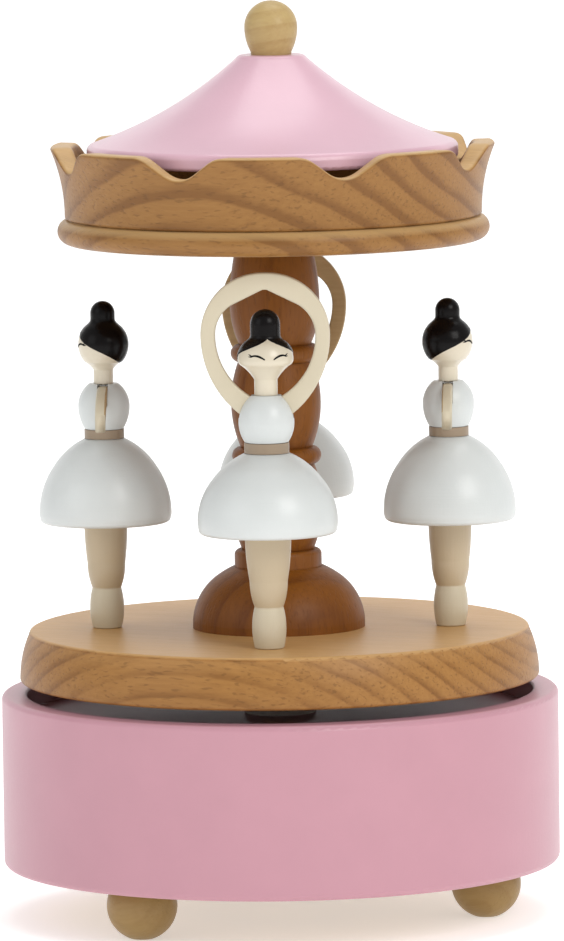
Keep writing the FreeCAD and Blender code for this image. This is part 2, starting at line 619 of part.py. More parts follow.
def dancer_head(name, figure):
    base = "(neck_peg_long + glue_gap)"
    lift = f"({base} - torso_top)"
    return turned(f"{name}_head", own_outline(figure, [
        ("0", "0"), ("neck_peg", "0"), ("neck_peg", base), ("neck_slim", base),
        ("neck_slim", f"{base} + neck_long"),
        ("chin_radius", f"chin_at + {lift}", "right", "chin_curve"),
        ("head_radius", f"head_at + {lift}", "level", f"head_at + {lift}"),
        ("bun_radius + 0.5", f"bun_at + {lift}", "level", f"head_at + {lift}"),
        ("bun_radius", f"bun_at + {lift} + 0.8", "right", "1.2"),
        ("bun_radius", f"dancer_high + {lift} - bun_radius"),
        ("0", f"dancer_high + {lift}", "plumb", "0"),
    ]))


# the arms are drawn to the right of their sketch's axis, about this middle
ARMS_MIDDLE = "(2 * ring_half)"


def raised_arms(name, figure):
    """A closed lemon-shaped ring of thin plywood, with a yoke at its foot that sits in the torso's slot."""
    widest = "(ring_widest - yoke_bottom)"
    wrist, palm = f"{widest} + ring_wrist_rise", "ring_top - ring_hand - yoke_bottom"
    body = sawn(f"{name}_arms", own_outline(figure, [
        (f"{ARMS_MIDDLE} + ring_foot", "0"),
        (f"{ARMS_MIDDLE} + ring_half", widest, "level", widest),
        (ARMS_MIDDLE, "ring_top - yoke_bottom", "level", widest),
        (f"{ARMS_MIDDLE} - ring_half", widest, "level", widest),
        (f"{ARMS_MIDDLE} - ring_foot", "0", "level", widest),
    ]), "arm_thick")
    hole = new_sketch(body)
    draw(hole, own_outline(figure, [
        (f"{ARMS_MIDDLE} + ring_hole_foot", "yoke_top - yoke_bottom"),
        (f"{ARMS_MIDDLE} + ring_half - ring_band", widest, "level", widest),
        (f"{ARMS_MIDDLE} + ring_wrist", wrist, "level", widest),
        (ARMS_MIDDLE, palm),
        (f"{ARMS_MIDDLE} - ring_wrist", wrist),
        (f"{ARMS_MIDDLE} - ring_half + ring_band", widest, "level", widest),
        (f"{ARMS_MIDDLE} - ring_hole_foot", "yoke_top - yoke_bottom", "level", widest),
    ]))
    cut = body.newObject("PartDesign::Pocket", f"{name}_ring_hole")
    cut.Profile = hole
    cut.SideType = "Symmetric"
    cut.Length = 20
    return body


def lowered_arms(name, figure):
    """Two short curved arms, joined by the yoke, that slope out and down to the waist."""
    shoulder, armpit = "yoke_top - arm_hand_low", "yoke_bottom - arm_hand_low"
    return sawn(f"{name}_arms", own_outline(figure, [
        (f"{ARMS_MIDDLE} - arm_reach", "arm_hand_high - arm_hand_low"),
        (f"{ARMS_MIDDLE} - arm_root", shoulder, "right", "arm_reach * 1.1"),
        (f"{ARMS_MIDDLE} + arm_root", shoulder),
        (f"{ARMS_MIDDLE} + arm_reach", "arm_hand_high - arm_hand_low", "right", "arm_reach * 1.1"),
        (f"{ARMS_MIDDLE} + arm_reach", "0"),
        (f"{ARMS_MIDDLE} + torso_radius + 0.1", armpit, "left", "arm_reach"),
        (f"{ARMS_MIDDLE} - torso_radius - 0.1", armpit),
        (f"{ARMS_MIDDLE} - arm_reach", "0", "left", "arm_reach"),
    ]), "arm_thick")


def build_dancer(name, quarter, figure):
    """One dancer, facing outwards, a quarter turn further round the table for each number."""
    angle = f"(dancer_turn + {90 * quarter})"
    x, y = f"dancer_ring * cos({angle})", f"dancer_ring * sin({angle})"
    turn = f"{angle} + 90"
    skirt_top = own(figure, f"{TABLE_TOP} + skirt_top")
    place(dancer_legs(name, figure), x, y, f"{TABLE_TOP} - leg_peg_long", turn)
    place(dancer_skirt(name, figure), x, y, own(figure, f"{TABLE_TOP} + skirt_bottom"), turn)
    place(dancer_torso(name, figure), x, y, f"{skirt_top} - body_peg_long + glue_gap", turn)
    place(dancer_sash(name, figure), x, y, f"{skirt_top} + sash_gap", turn)
    place(dancer_head(name, figure), x, y, own(figure, f"{TABLE_TOP} + torso_top - neck_peg_long"), turn)
    arms, low = (raised_arms, "yoke_bottom") if figure == "raised" else (lowered_arms, "arm_hand_low")
    place(arms(name, figure), f"{x} - {ARMS_MIDDLE} * cos({turn})", f"{y} - {ARMS_MIDDLE} * sin({turn})",
          own(figure, f"{TABLE_TOP} + {low}"), turn)


# ---------------------------------------------------------------- movement


def tooth_outline(teeth, module, addendum, dedendum, share=0.42):
    """Outline of a spur gear's teeth as a wire round the origin, with straight flanks and backlash."""
    radius = teeth * module / 2
    step = 2 * math.pi / teeth
    points = []
    for i in range(teeth):
        for reach, width in ((-dedendum, share * 1.25), (addendum, share * 0.5)):
            r = radius + reach * module
            half = step * width / 2
            points.append((r, i * step - half))
        for reach, width in ((addendum, share * 0.5), (-dedendum, share * 1.25)):
            r = radius + reach * module
            points.append((r, i * step + step * width / 2))
    corners = [FreeCAD.Vector(r * math.cos(a), r * math.sin(a), 0) for r, a in points]
    return Part.makePolygon(corners + [corners[0]])


def spur(teeth, module, wide, bore, turn=0.0, addendum=0.9, dedendum=1.2):
    """A spur gear with its axis along Z, its lower face at 0 and one tooth at the given turn from +X."""
    gear = Part.Face(tooth_outline(teeth, module, addendum, dedendum)).extrude(FreeCAD.Vector(0, 0, wide))
    gear = gear.cut(rod(bore, -1, wide + 1)) if bore else gear
    return moved(gear, turn=turn)


def along_x(shape, x, y, z):
    """Lays a shape whose axis is Z along X: its own +X then points down."""
    return moved(shape, x, y, z, 90, FreeCAD.Vector(0, 1, 0))


def crown_wheel():
    """The great wheel: a disc whose teeth point up at the cylinder's pinion."""
    module, teeth = number("drive_module"), SIZES["crown_teeth"]
    pitch = math.pi * module
    middle = number(CROWN_RADIUS)
    root = number(f"{BED_BOTTOM} - {CROWN_ROOT_DEPTH}")
    high = 2.15 * module
    wide_root, wide_tip = 0.62 * pitch, 0.22 * pitch
    face = Part.Face(Part.makePolygon([
        FreeCAD.Vector(middle - 1.3, -wide_root / 2, root - 0.2),
        FreeCAD.Vector(middle - 1.3, wide_root / 2, root - 0.2),
        FreeCAD.Vector(middle - 1.3, wide_tip / 2, root + high),
        FreeCAD.Vector(middle - 1.3, -wide_tip / 2, root + high),
        FreeCAD.Vector(middle - 1.3, -wide_root / 2, root - 0.2),
    ]))
    tooth = face.extrude(FreeCAD.Vector(2.6, 0, 0))
    disc = rod(middle + 1.3, root - number("crown_disc"), root)
    disc = disc.cut(rod(number("arbor_radius + glue_gap"), root - 5, root + 5))
    return disc.multiFuse([moved(tooth, turn=360.0 * i / teeth) for i in range(teeth)])


def build_arbor():
    low = number(f"{BED_BOTTOM} - {HOUSING_DEPTH} - housing_high + 0.3")
    high = number(f"{TABLE_BOTTOM} + arbor_in_hub")
    shaft = rod(number("arbor_radius"), low, high)
    solid_part("winding_arbor", shaft.makeChamfer(0.3, [shaft.Edges[0]]))
    solid_part("great_wheel", crown_wheel())


def build_bedplate():
    """The cast bedplate, with a rest for the comb and posts for the cylinder's axle."""
    top, low = number(DECK_BOTTOM), number(BED_BOTTOM)
    axis_z = number(CYLINDER_Z)
    post_x, post_wide = number(POST_X), number(POST_WIDE)
    comb_y = number("cylinder_radius + pin_long + comb_gap + comb_tooth_long")
    comb_x = number("cylinder_start + cylinder_long / 2 - notes * note_pitch / 2")
    comb_wide = number("notes * note_pitch")
    plate = Part.makeBox(number(FRAME_X) + 1.3 + 16, number(WORM_Y) + 5.4 + 26, top - low,
                         FreeCAD.Vector(-16, -26, low))
    plate = plate.makeFillet(3.0, [e for e in plate.Edges if abs(e.Vertexes[0].Z - e.Vertexes[-1].Z) > 1])
    plate = plate.common(rod(number("cavity_radius") - 0.6, low, top))
    rest_high = axis_z + number("comb_thick") / 2
    rest = Part.makeBox(comb_wide, number("comb_body"), low - rest_high,
                        FreeCAD.Vector(comb_x, -comb_y - number("comb_body"), rest_high))
    inner = Part.makeBox(1.6, 5, low - axis_z + 2.2, FreeCAD.Vector(7.0, -2.5, axis_z - 2.2))
    outer = Part.makeBox(post_wide, number(WHEEL_Y) + 5, low - axis_z + 2.2,
                         FreeCAD.Vector(post_x, -2.5, axis_z - 2.2))
    bed = plate.multiFuse([rest, inner, outer])
    bed = bed.cut(axle(number("axle_radius + run_gap"), 5, post_x + 5, 0, axis_z))
    bed = bed.cut(axle(number("wheel_arbor + run_gap"), post_x - 1, post_x + 5, number(WHEEL_Y), axis_z))
    bed = bed.cut(rod(number("arbor_radius + run_gap"), low - 1, top + 1))
    for x, y in bed_screw_places():
        bed = bed.cut(rod(number("screw_shank + glue_gap"), low - 1, top + 1, x, y))
    for x in comb_screw_places():
        y = -comb_y - number("comb_body") / 2
        bed = bed.cut(rod(number("screw_shank + glue_gap"), rest_high - 1, rest_high + 5.2, x, y))
    return solid_part("bedplate", bed)


def bed_screw_places():
    return [(number(x), number(y)) for x, y in BED_SCREWS]


def comb_screw_places():
    middle = number("cylinder_start + cylinder_long / 2")
    return [middle - 5.0, middle + 5.0]


def build_comb():
    """A steel comb whose teeth end just clear of the cylinder's pins."""
    notes, pitch = SIZES["notes"], number("note_pitch")
    thick, long = number("comb_thick"), number("comb_tooth_long")
    tip = number("cylinder_radius + pin_long + comb_gap")
    x = number("cylinder_start + cylinder_long / 2") - notes * pitch / 2
    top = number(CYLINDER_Z) + thick / 2
    comb = Part.makeBox(notes * pitch, number("comb_body"), thick,
                        FreeCAD.Vector(x, -tip - long - number("comb_body"), top - thick))
    for i in range(notes):
        # the treble teeth are thinned along their length, the bass teeth are left heavy
        root = long * (0.82 + 0.18 * i / (notes - 1))
        tooth = Part.makeBox(pitch * 0.72, root + 0.5, thick * 0.6,
                             FreeCAD.Vector(x + pitch * (i + 0.14), -tip - root - 0.5, top - thick))
        comb = comb.fuse(tooth)
        web = Part.makeBox(pitch * 1.0, long - root + 0.5, thick,
                           FreeCAD.Vector(x + pitch * i, -tip - long - 0.5, top - thick))
        comb = comb.fuse(web)
    for place_x in comb_screw_places():
        y = -tip - long - number("comb_body") / 2
        comb = comb.cut(rod(number("screw_shank + glue_gap"), top - 3, top + 3, place_x, y))
    solid_part("comb", comb)
    screws = [moved(screw(4.5 + thick), place_x, -tip - long - number("comb_body") / 2, top - thick)
              for place_x in comb_screw_places()]
    solid_part("comb_screws", Part.makeCompound(screws))


def build_cylinder():
    """The pinned cylinder, its axle, the pinion that the great wheel drives, and its gear."""
    z = number(CYLINDER_Z)
    start, long, radius = number("cylinder_start"), number("cylinder_long"), number("cylinder_radius")
    gear_x = number(GEAR_X)
    bore = number("axle_radius + glue_gap")
    drum = axle(radius, start, start + long, 0, z).cut(axle(bore, start - 1, start + long + 1, 0, z))
    notes, pitch = SIZES["notes"], number("note_pitch")
    first = start + long / 2 - notes * pitch / 2 + pitch / 2
    pins = []
    for i in range(notes):
        for beat in range(SIZES["beats"]):
            # a simple rising and falling scale: each note sounds four times in a turn
            angle = 360.0 * ((i * 5 + beat * 23) % 90) / 90 + 2.0
            pin = rod(number("pin_radius"), radius - 0.4, radius + number("pin_long"))
            pin = moved(pin, turn=angle, axis=X_AXIS)
            pins.append(moved(Part.makeCompound([pin]), first + i * pitch, 0, z))
    solids = [p.Solids[0] for p in pins]
    solid_part("pinned_cylinder", drum.multiFuse(solids))
    solid_part("cylinder_axle", axle(number("axle_radius"), 6.6, number(POST_X) + 2.0, 0, z))
    mesh = number(CROWN_RADIUS)
    pinion = spur(SIZES["pinion_teeth"], number("drive_module"), 1.8, bore, turn=PINION_TURN)
    hub = rod(2.2, 1.8, start - mesh + 0.9 - 0.1).cut(rod(bore, 0, 20))
    solid_part("cylinder_pinion", along_x(pinion.fuse(hub), mesh - 0.9, 0, z))
    gear = spur(SIZES["gear_teeth"], number("train_module"), number("gear_wide"), bore, turn=GEAR_TURN)
    solid_part("cylinder_gear", along_x(gear, gear_x, 0, z))


def build_governor():
    """The governor: a wheel driven by the cylinder's gear, a worm that it turns, and an air brake."""
    z, y = number(CYLINDER_Z), number(WHEEL_Y)
    gear_x, wheel_x = number(GEAR_X), number(WHEEL_X)
    arbor = number("wheel_arbor")
    pinion = spur(SIZES["small_teeth"], number("train_module"), number("gear_wide"), 0, turn=SMALL_TURN)
    shaft = axle(arbor, gear_x - 0.2, wheel_x + 1.9, y, z)
    solid_part("governor_arbor", along_x(pinion, gear_x, y, z).fuse(shaft))
    module = number("worm_pitch") / math.pi
    wheel = spur(SIZES["worm_teeth"], module, number("gear_wide"), arbor + number("glue_gap"),
                 turn=WHEEL_TURN, addendum=0.75, dedendum=1.2)
    solid_part("worm_wheel", along_x(wheel, wheel_x, y, z))
    build_worm(number(WORM_X), number(WORM_Y), z)
    build_governor_frame(number(WORM_X), number(WORM_Y), z)


def build_worm(x, y, z):
    pitch, turns = number("worm_pitch"), SIZES["worm_turns"]
    core = number("worm_radius") - 0.42
    long = pitch * turns
    helix = Part.makeHelix(pitch, long, core)
    profile = Part.makePolygon([
        FreeCAD.Vector(core - 0.15, 0, -0.26), FreeCAD.Vector(core + 0.62, 0, -0.09),
        FreeCAD.Vector(core + 0.62, 0, 0.09), FreeCAD.Vector(core - 0.15, 0, 0.26),
        FreeCAD.Vector(core - 0.15, 0, -0.26),
    ])
    thread = Part.Wire(helix).makePipeShell([profile], True, True)
    thread = Part.Solid(thread) if thread.ShapeType != "Solid" else thread
    body = rod(core, -0.4, long + 0.4).fuse(thread)
    body = moved(body, z=-long / 2, turn=WORM_TURN)
    shaft = rod(number("worm_shaft"), -7.5, 7.0)
    solid_part("worm_shaft", moved(body.fuse(shaft), x, y, z))
    blade = Part.makeBox(number("2 * fan_radius"), number("fan_thick"), number("fan_high"),
                         FreeCAD.Vector(-number("fan_radius"), -number("fan_thick") / 2, -7.0))
    fan = blade.fuse(rod(1.0, -7.0, -7.0 + number("fan_high")))
    fan = fan.cut(rod(number("worm_shaft + glue_gap"), -10, 10))
    solid_part("air_brake_fan", moved(fan, x, y, z, 35))


def build_governor_frame(x, y, z):
    """A folded bracket under the bedplate that holds both pivots of the worm and the wheel's outer pivot."""
    low = number(BED_BOTTOM)
    side_x, wheel_y, reach = number(FRAME_X), number(WHEEL_Y), number("fan_radius") + 0.5
    flange = Part.makeBox(side_x - x + 2.2, y + reach + 1.0 - wheel_y + 2.0, 0.8,
                          FreeCAD.Vector(x - 1.2, wheel_y - 2.0, low - 0.8))
    side = Part.makeBox(1.0, 4.0, low - z + 2.0, FreeCAD.Vector(side_x, wheel_y - 2.0, z - 2.0))
    back = Part.makeBox(2.4, 1.0, low - z + 8.0, FreeCAD.Vector(x - 1.2, y + reach, z - 8.0))
    foot = Part.makeBox(2.4, reach + 2.5, 0.8, FreeCAD.Vector(x - 1.2, y - 1.5, z - 8.0))
    gap = number("run_gap")
    frame = flange.multiFuse([side, back, foot])
    frame = frame.cut(rod(number("worm_shaft") + gap, z - 7.6, low - 0.3, x, y))
    frame = frame.cut(axle(number("wheel_arbor") + gap, side_x - 2, side_x + 0.95, wheel_y, z))
    solid_part("governor_frame", frame)


def build_spring():
    """The spring housing on its two legs, and the coiled mainspring inside it."""
    low = number(BED_BOTTOM)
    top = low - number(HOUSING_DEPTH)
    radius, wall, high = number("housing_radius"), number("housing_wall"), number("housing_high")
    ring, leg, seat = number("leg_ring"), number("leg_radius"), number("leg_seat")
    shell = rod(radius, top - high, top).cut(rod(radius - wall, top - high + wall, top + 1))
    legs = []
    for turn in (120, 240):
        a = math.radians(turn)
        post = rod(leg, top - seat, low, ring * math.cos(a), ring * math.sin(a))
        arm = Part.makeBox(ring - radius + wall, 2 * leg, seat,
                           FreeCAD.Vector(radius - wall / 2, -leg, top - seat))
        legs += [post, moved(arm, turn=turn)]
    housing = shell.multiFuse(legs).cut(rod(number("arbor_radius + run_gap"), top - high - 1, top + 1))
    housing = housing.cut(rod(radius - wall, top - high + wall, top + 1))
    solid_part("spring_housing", housing)
    turns, thick = SIZES["spring_turns"], number("spring_thick")
    inner, outer = number("arbor_radius") + 0.8, radius - wall - 0.4
    grow = (outer - thick - inner) / turns
    points = []
    for reach in (0.0, thick):
        side = [FreeCAD.Vector((inner + reach + grow * k / 24) * math.cos(math.radians(15 * k)),
                               (inner + reach + grow * k / 24) * math.sin(math.radians(15 * k)), 0)
                for k in range(24 * turns + 1)]
        curve = Part.BSplineCurve()
        curve.interpolate(side)
        points.append(curve)
    ends = [Part.LineSegment(points[0].StartPoint, points[1].StartPoint),
            Part.LineSegment(points[0].EndPoint, points[1].EndPoint)]
    wire = Part.Wire(Part.__sortEdges__([g.toShape() for g in points + ends]))
    strip = Part.Face(wire).extrude(FreeCAD.Vector(0, 0, high - wall - 0.8))
    solid_part("mainspring", moved(strip, z=top - high + wall + 0.3))


def build_bed_screws():
    long, low = number("bed_screw_long"), number(BED_BOTTOM)
    screws = [moved(screw(long), x, y, low) for x, y in bed_screw_places()]
    solid_part("movement_screws", Part.makeCompound(screws))


# turns that put the gears in mesh at rest, in degrees
PINION_TURN = 11.25
GEAR_TURN = 0.0
SMALL_TURN = 22.5
WHEEL_TURN = 0.0
WORM_TURN = 90.0

build_drum()
build_cover()
build_feet()
build_turntable()
build_hub()
build_column()
build_crown()
build_roof()
for quarter, side in enumerate(("front", "right", "back", "left"), start=-1):
    build_dancer(f"{side}_dancer", quarter, "raised" if side in ("front", "back") else "lowered")
build_arbor()
build_bedplate()
build_comb()
build_cylinder()
build_governor()
build_spring()
build_bed_screws()
doc.recompute()

for item in doc.Objects:
    bad = [s for s in item.State if s in ("Invalid", "Error")]
    if bad:
        raise SystemExit(f"{item.Label} failed: {item.State}")
os.makedirs("parts", exist_ok=True)
for item in parts:
    if item.Shape.isNull() or not item.Shape.isValid() or not item.Shape.Solids:
        raise SystemExit(f"{item.Label} has no valid solid")
for item in parts:
    item.Shape.exportStep(f"parts/{item.Label}.step")
print(len(parts), "sub-parts")
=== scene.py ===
"""Looks of the carousel music box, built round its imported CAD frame.

Turned and cast pieces keep their CAD shape and get a material. The canopy's crown, the arms, the hair and
the lashes are made here. Lengths that end in _MM are millimetres; the scene itself is in metres."""

import json
import math

import bpy
from mathutils import Matrix, Vector


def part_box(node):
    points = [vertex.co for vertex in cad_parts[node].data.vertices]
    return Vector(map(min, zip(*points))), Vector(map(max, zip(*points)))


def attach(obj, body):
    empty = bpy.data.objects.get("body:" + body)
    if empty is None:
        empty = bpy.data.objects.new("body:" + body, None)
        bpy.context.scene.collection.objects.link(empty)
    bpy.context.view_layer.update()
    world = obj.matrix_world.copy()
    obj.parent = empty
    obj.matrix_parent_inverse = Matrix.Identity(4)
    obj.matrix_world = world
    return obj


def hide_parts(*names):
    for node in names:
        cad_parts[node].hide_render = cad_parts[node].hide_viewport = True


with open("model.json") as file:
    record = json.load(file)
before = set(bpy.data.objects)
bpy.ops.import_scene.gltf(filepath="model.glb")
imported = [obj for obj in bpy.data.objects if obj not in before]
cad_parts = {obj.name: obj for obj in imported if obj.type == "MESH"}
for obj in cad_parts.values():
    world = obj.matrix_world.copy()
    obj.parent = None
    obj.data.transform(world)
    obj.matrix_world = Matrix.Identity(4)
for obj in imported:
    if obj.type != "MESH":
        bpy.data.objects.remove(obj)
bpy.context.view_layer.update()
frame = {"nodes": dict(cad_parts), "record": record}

MM = 0.001
NODES = frame["nodes"]
DANCERS = ("front", "right", "back", "left")
# the sides on which the dancers' arms are raised
ARMS_UP = ("front", "back")


# ---------------------------------------------------------------- materials


SOCKETS = {"coat_weight": "Coat Weight", "coat_roughness": "Coat Roughness", "metallic": "Metallic",
           "specular_ior_level": "Specular IOR Level"}


def shaded(colour, share):
    """A colour made darker or lighter."""
    return tuple(min(1.0, c * share) for c in colour)


class Finish:
    """A node material being put together. Its coordinates are the piece's own, in millimetres."""

    def __init__(self, name):
        self.material = bpy.data.materials.new(name)
        self.material.use_nodes = True
        self.tree = self.material.node_tree
        self.shader = self.tree.nodes["Principled BSDF"]
        place = self.add("ShaderNodeTexCoord").outputs["Object"]
        self.place = self.mapped(place, scale=(1 / MM,) * 3)

    def add(self, kind, inputs=None, **settings):
        node = self.tree.nodes.new(kind)
        for name, value in settings.items():
            setattr(node, name, value)
        for name, value in (inputs or {}).items():
            self.set(node.inputs[name], value)
        return node

    def set(self, socket, value):
        """Links a socket to another node's output, or gives it a value."""
        if isinstance(value, bpy.types.NodeSocket):
            self.tree.links.new(value, socket)
        else:
            socket.default_value = value

    def mapped(self, place, scale=(1, 1, 1), turn=(0, 0, 0), shift=(0, 0, 0)):
        turn = tuple(math.radians(a) for a in turn)
        inputs = {"Vector": place, "Scale": scale, "Rotation": turn, "Location": shift}
        return self.add("ShaderNodeMapping", inputs).outputs[0]

    def noise(self, place, scale=1.0, detail=3.0, rough=0.55, stretch=(1, 1, 1)):
        inputs = {"Vector": self.mapped(place, stretch), "Scale": scale, "Detail": detail, "Roughness": rough}
        return self.add("ShaderNodeTexNoise", inputs).outputs["Fac"]

    def maths(self, operation, a, b=0.0):
        return self.add("ShaderNodeMath", {0: a, 1: b}, operation=operation).outputs[0]

    def blend(self, factor, a, b):
        node = self.add("ShaderNodeMix", data_type="RGBA")
        self.set(node.inputs["Factor"], factor)
        for name, value in (("A", a), ("B", b)):
            socket = next(s for s in node.inputs if s.name == name and s.type == "RGBA")
            self.set(socket, value if isinstance(value, bpy.types.NodeSocket) else (*value, 1.0))
        return next(s for s in node.outputs if s.type == "RGBA")

    def ramp(self, factor, *stops):
        """Grey levels at places along 0 to 1."""
        node = self.add("ShaderNodeValToRGB", {"Fac": factor})
        elements = node.color_ramp.elements
        while len(elements) < len(stops):
            elements.new(0.5)
        for element, (at, level) in zip(elements, stops):
            element.position = at
            element.color = (level, level, level, 1.0)
        return node.outputs["Color"]

    def scaled(self, factor, low, high):
        """A 0 to 1 factor carried to a range."""
        return self.add("ShaderNodeMapRange", {"Value": factor, "To Min": low, "To Max": high}).outputs[0]

    def scaled_from(self, factor, low, high):
        """A range carried to 0 to 1."""
        return self.add("ShaderNodeMapRange", {"Value": factor, "From Min": low, "From Max": high}).outputs[0]

    def bump(self, height, depth_mm):
        """Relief on top of any relief that the material already has."""
        inputs = {"Height": height, "Distance": depth_mm * MM, "Strength": 1.0}
        if self.shader.inputs["Normal"].is_linked:
            inputs["Normal"] = self.shader.inputs["Normal"].links[0].from_socket
        self.set(self.shader.inputs["Normal"], self.add("ShaderNodeBump", inputs).outputs[0])

    def finish(self, colour, roughness, **sockets):
        self.set(self.shader.inputs["Base Color"], colour)
        self.set(self.shader.inputs["Roughness"], roughness)
        for name, value in sockets.items():
            self.shader.inputs[SOCKETS[name]].default_value = value
        return self.material


# how dark the wood is across one year's ring, from its start to its end
LATE_WOOD = ((0.0, 0.1), (0.25, 0.0), (0.55, 0.15), (0.82, 0.9), (0.9, 1.0), (1.0, 0.1))
# noise stretched along the grain, from broad bands to single fibres
BANDS, DASHES, FIBRES = (0.4, 1, 1), (0.34, 1.9, 1.9), (0.07, 1.4, 1.4)
VARNISH = {"coat_roughness": 0.28, "specular_ior_level": 0.25}


def growth_rings(f, along, pith, ring_mm, warp_mm):
    """Dark late wood in rings about the pith, which wander a little along the grain."""
    drift = f.add("ShaderNodeTexNoise", {"Vector": f.mapped(along, BANDS), "Scale": 0.03, "Detail": 2.0})
    bent = f.add("ShaderNodeVectorMath", {0: drift.outputs["Color"], "Scale": warp_mm}, operation="SCALE")
    moved = f.add("ShaderNodeVectorMath", {0: along, 1: bent.outputs[0]}, operation="ADD").outputs[0]
    parts = f.add("ShaderNodeSeparateXYZ", {0: f.mapped(moved, shift=tuple(-c for c in pith))})
    flat = f.add("ShaderNodeCombineXYZ", {"Y": parts.outputs["Y"], "Z": parts.outputs["Z"]}).outputs[0]
    reach = f.add("ShaderNodeVectorMath", {0: flat}, operation="LENGTH").outputs["Value"]
    year = f.maths("FRACT", f.maths("DIVIDE", reach, ring_mm))
    return f.ramp(year, *LATE_WOOD)


def wood(name, pale, dark, turn, pith, ring_mm, rings, flecks, gloss=0.42, warp_mm=6.0, face=None, coat=0.1):
    """Clear-varnished wood cut from one block: growth rings, fibres and short dark flecks.

    turn, in degrees, lays the grain along the piece, and pith is the place of the rings' middle.
    rings and flecks say how strong they are. face is a paler colour laid on the faces that look up, as
    painted light from above."""
    f = Finish(name)
    along = f.mapped(f.place, turn=turn)
    late = growth_rings(f, along, pith, ring_mm, warp_mm)
    patch = f.ramp(f.noise(along, 0.04, 2.0), (0.35, 0.25), (0.65, 1.0))
    broad = f.noise(along, 0.035, 2.0, stretch=BANDS)
    fibres = f.noise(along, 1.0, 4.0, 0.6, stretch=FIBRES)
    dashes = f.noise(along, 1.0, 1.5, 0.5, stretch=DASHES)
    fleck = f.ramp(dashes, (0.0, 0.0), (0.58, 0.0), (0.68, 1.0), (1.0, 1.0))
    tone = f.maths("MULTIPLY", f.maths("MULTIPLY", late, patch), rings)
    tone = f.maths("ADD", tone, f.maths("MULTIPLY", fibres, 0.34))
    tone = f.maths("ADD", tone, f.maths("MULTIPLY", broad, 0.3))
    colour = f.blend(f.ramp(tone, (0.16, 0.0), (0.62, 1.0)), pale, dark)
    colour = f.blend(f.maths("MULTIPLY", fleck, flecks * 0.5), colour, shaded(dark, 0.6))
    # painted light: the faces that look up are blended towards the paler face colour, standing in for light
    # from above
    if face:
        normal = f.add("ShaderNodeNewGeometry").outputs["Normal"]
        up = f.add("ShaderNodeSeparateXYZ", {0: normal}).outputs["Z"]
        painted_top_light = f.blend(f.maths("MULTIPLY", fibres, 0.5), face, shaded(face, 0.8))
        colour = f.blend(f.maths("MULTIPLY", f.ramp(up, (0.3, 0.0), (0.9, 1.0)), 0.8), colour, painted_top_light)
    f.bump(fibres, 0.04)
    f.bump(fleck, -0.03)
    return f.finish(colour, f.scaled(fibres, gloss - 0.06, gloss + 0.1), coat_weight=coat, **VARNISH)


def paint(name, colour, roughness=0.36, grain=0.5, lathe=0.0, mottle=0.012, coat=0.15, below=None,
          specular=0.5):
    """Brushed paint over wood: faint mottling, specks, and the wood's fibres showing through.

    grain and lathe are the depths of the fibres and of a turned piece's tool marks. below is a height
    above the ground in millimetres and the colour of what lies under it."""
    f = Finish(name)
    cloud = f.ramp(f.noise(f.place, 0.09, 3.0), (0.3, 0.0), (0.7, 1.0))
    fine = f.noise(f.place, 1.6, 4.0, 0.65)
    fibres = f.noise(f.place, 1.0, 3.0, stretch=(1.5, 1.5, 0.09))
    base = f.blend(cloud, shaded(colour, 1 + mottle), shaded(colour, 1 - mottle * 2.2))
    if below:
        height = f.add("ShaderNodeSeparateXYZ", {0: f.place}).outputs["Z"]
        base = f.blend(f.scaled_from(height, below[0] - 0.25, below[0] + 0.25), below[1], base)
    speck = f.ramp(f.noise(f.place, 2.6, 1.0), (0.0, 0.0), (0.72, 0.0), (0.78, 1.0), (1.0, 1.0))
    base = f.blend(f.maths("MULTIPLY", speck, 0.07), base, shaded(colour, 0.7))
    f.bump(fibres, 0.05 * grain)
    f.bump(fine, 0.02)
    if lathe:
        marks = f.noise(f.place, 1.0, 2.0, stretch=(0.02, 0.02, 3.2))
        f.bump(marks, 0.05 * lathe)
    return f.finish(base, f.scaled(fine, roughness - 0.06, roughness + 0.08), coat_weight=coat,
                    coat_roughness=0.2, specular_ior_level=specular)


def metal(name, colour, roughness=0.3, brushed=(0.05, 1.8, 1.8)):
    """Bare metal with rolling or turning marks and slight tarnish."""
    f = Finish(name)
    marks = f.noise(f.place, 1.5, 3.0, stretch=brushed)
    tarnish = f.noise(f.place, 0.4, 4.0)
    base = f.blend(f.ramp(tarnish, (0.35, 0.0), (0.75, 1.0)), colour, shaded(colour, 0.72))
    f.bump(marks, 0.02)
    return f.finish(base, f.scaled(marks, roughness - 0.08, roughness + 0.14), metallic=1.0)


def plastic(name, colour, roughness=0.45):
    """Moulded plastic with a fine texture."""
    f = Finish(name)
    fine = f.noise(f.place, 3.0, 3.0)
    cloud = f.noise(f.place, 0.3, 2.0)
    f.bump(fine, 0.02)
    return f.finish(f.blend(cloud, colour, shaded(colour, 0.86)),
                    f.scaled(fine, roughness - 0.05, roughness + 0.1))


def plywood(name, pale, dark):
    """The bare sawn face of thin birch plywood."""
    f = Finish(name)
    fibres = f.noise(f.place, 1.0, 4.0, stretch=(0.07, 1.3, 1.3))
    f.bump(fibres, 0.04)
    return f.finish(f.blend(f.ramp(fibres, (0.3, 0.0), (0.75, 1.0)), pale, dark), f.scaled(fibres, 0.5, 0.68))


def paper_floor(name, glow):
    """White studio paper, lit a little from within so that it stays white to the edges."""
    f = Finish(name)
    fine = f.noise(f.place, 0.02, 3.0)
    white = f.blend(fine, (0.90, 0.90, 0.90), (0.93, 0.93, 0.93))
    f.set(f.shader.inputs["Emission Color"], (1.0, 1.0, 1.0, 1.0))
    f.set(f.shader.inputs["Emission Strength"], glow)
    return f.finish(white, f.scaled(fine, 0.75, 0.85))


CREAM = (0.60, 0.53, 0.39)
# the shoes' tops, above the ground
ANKLE_MM = 65.0
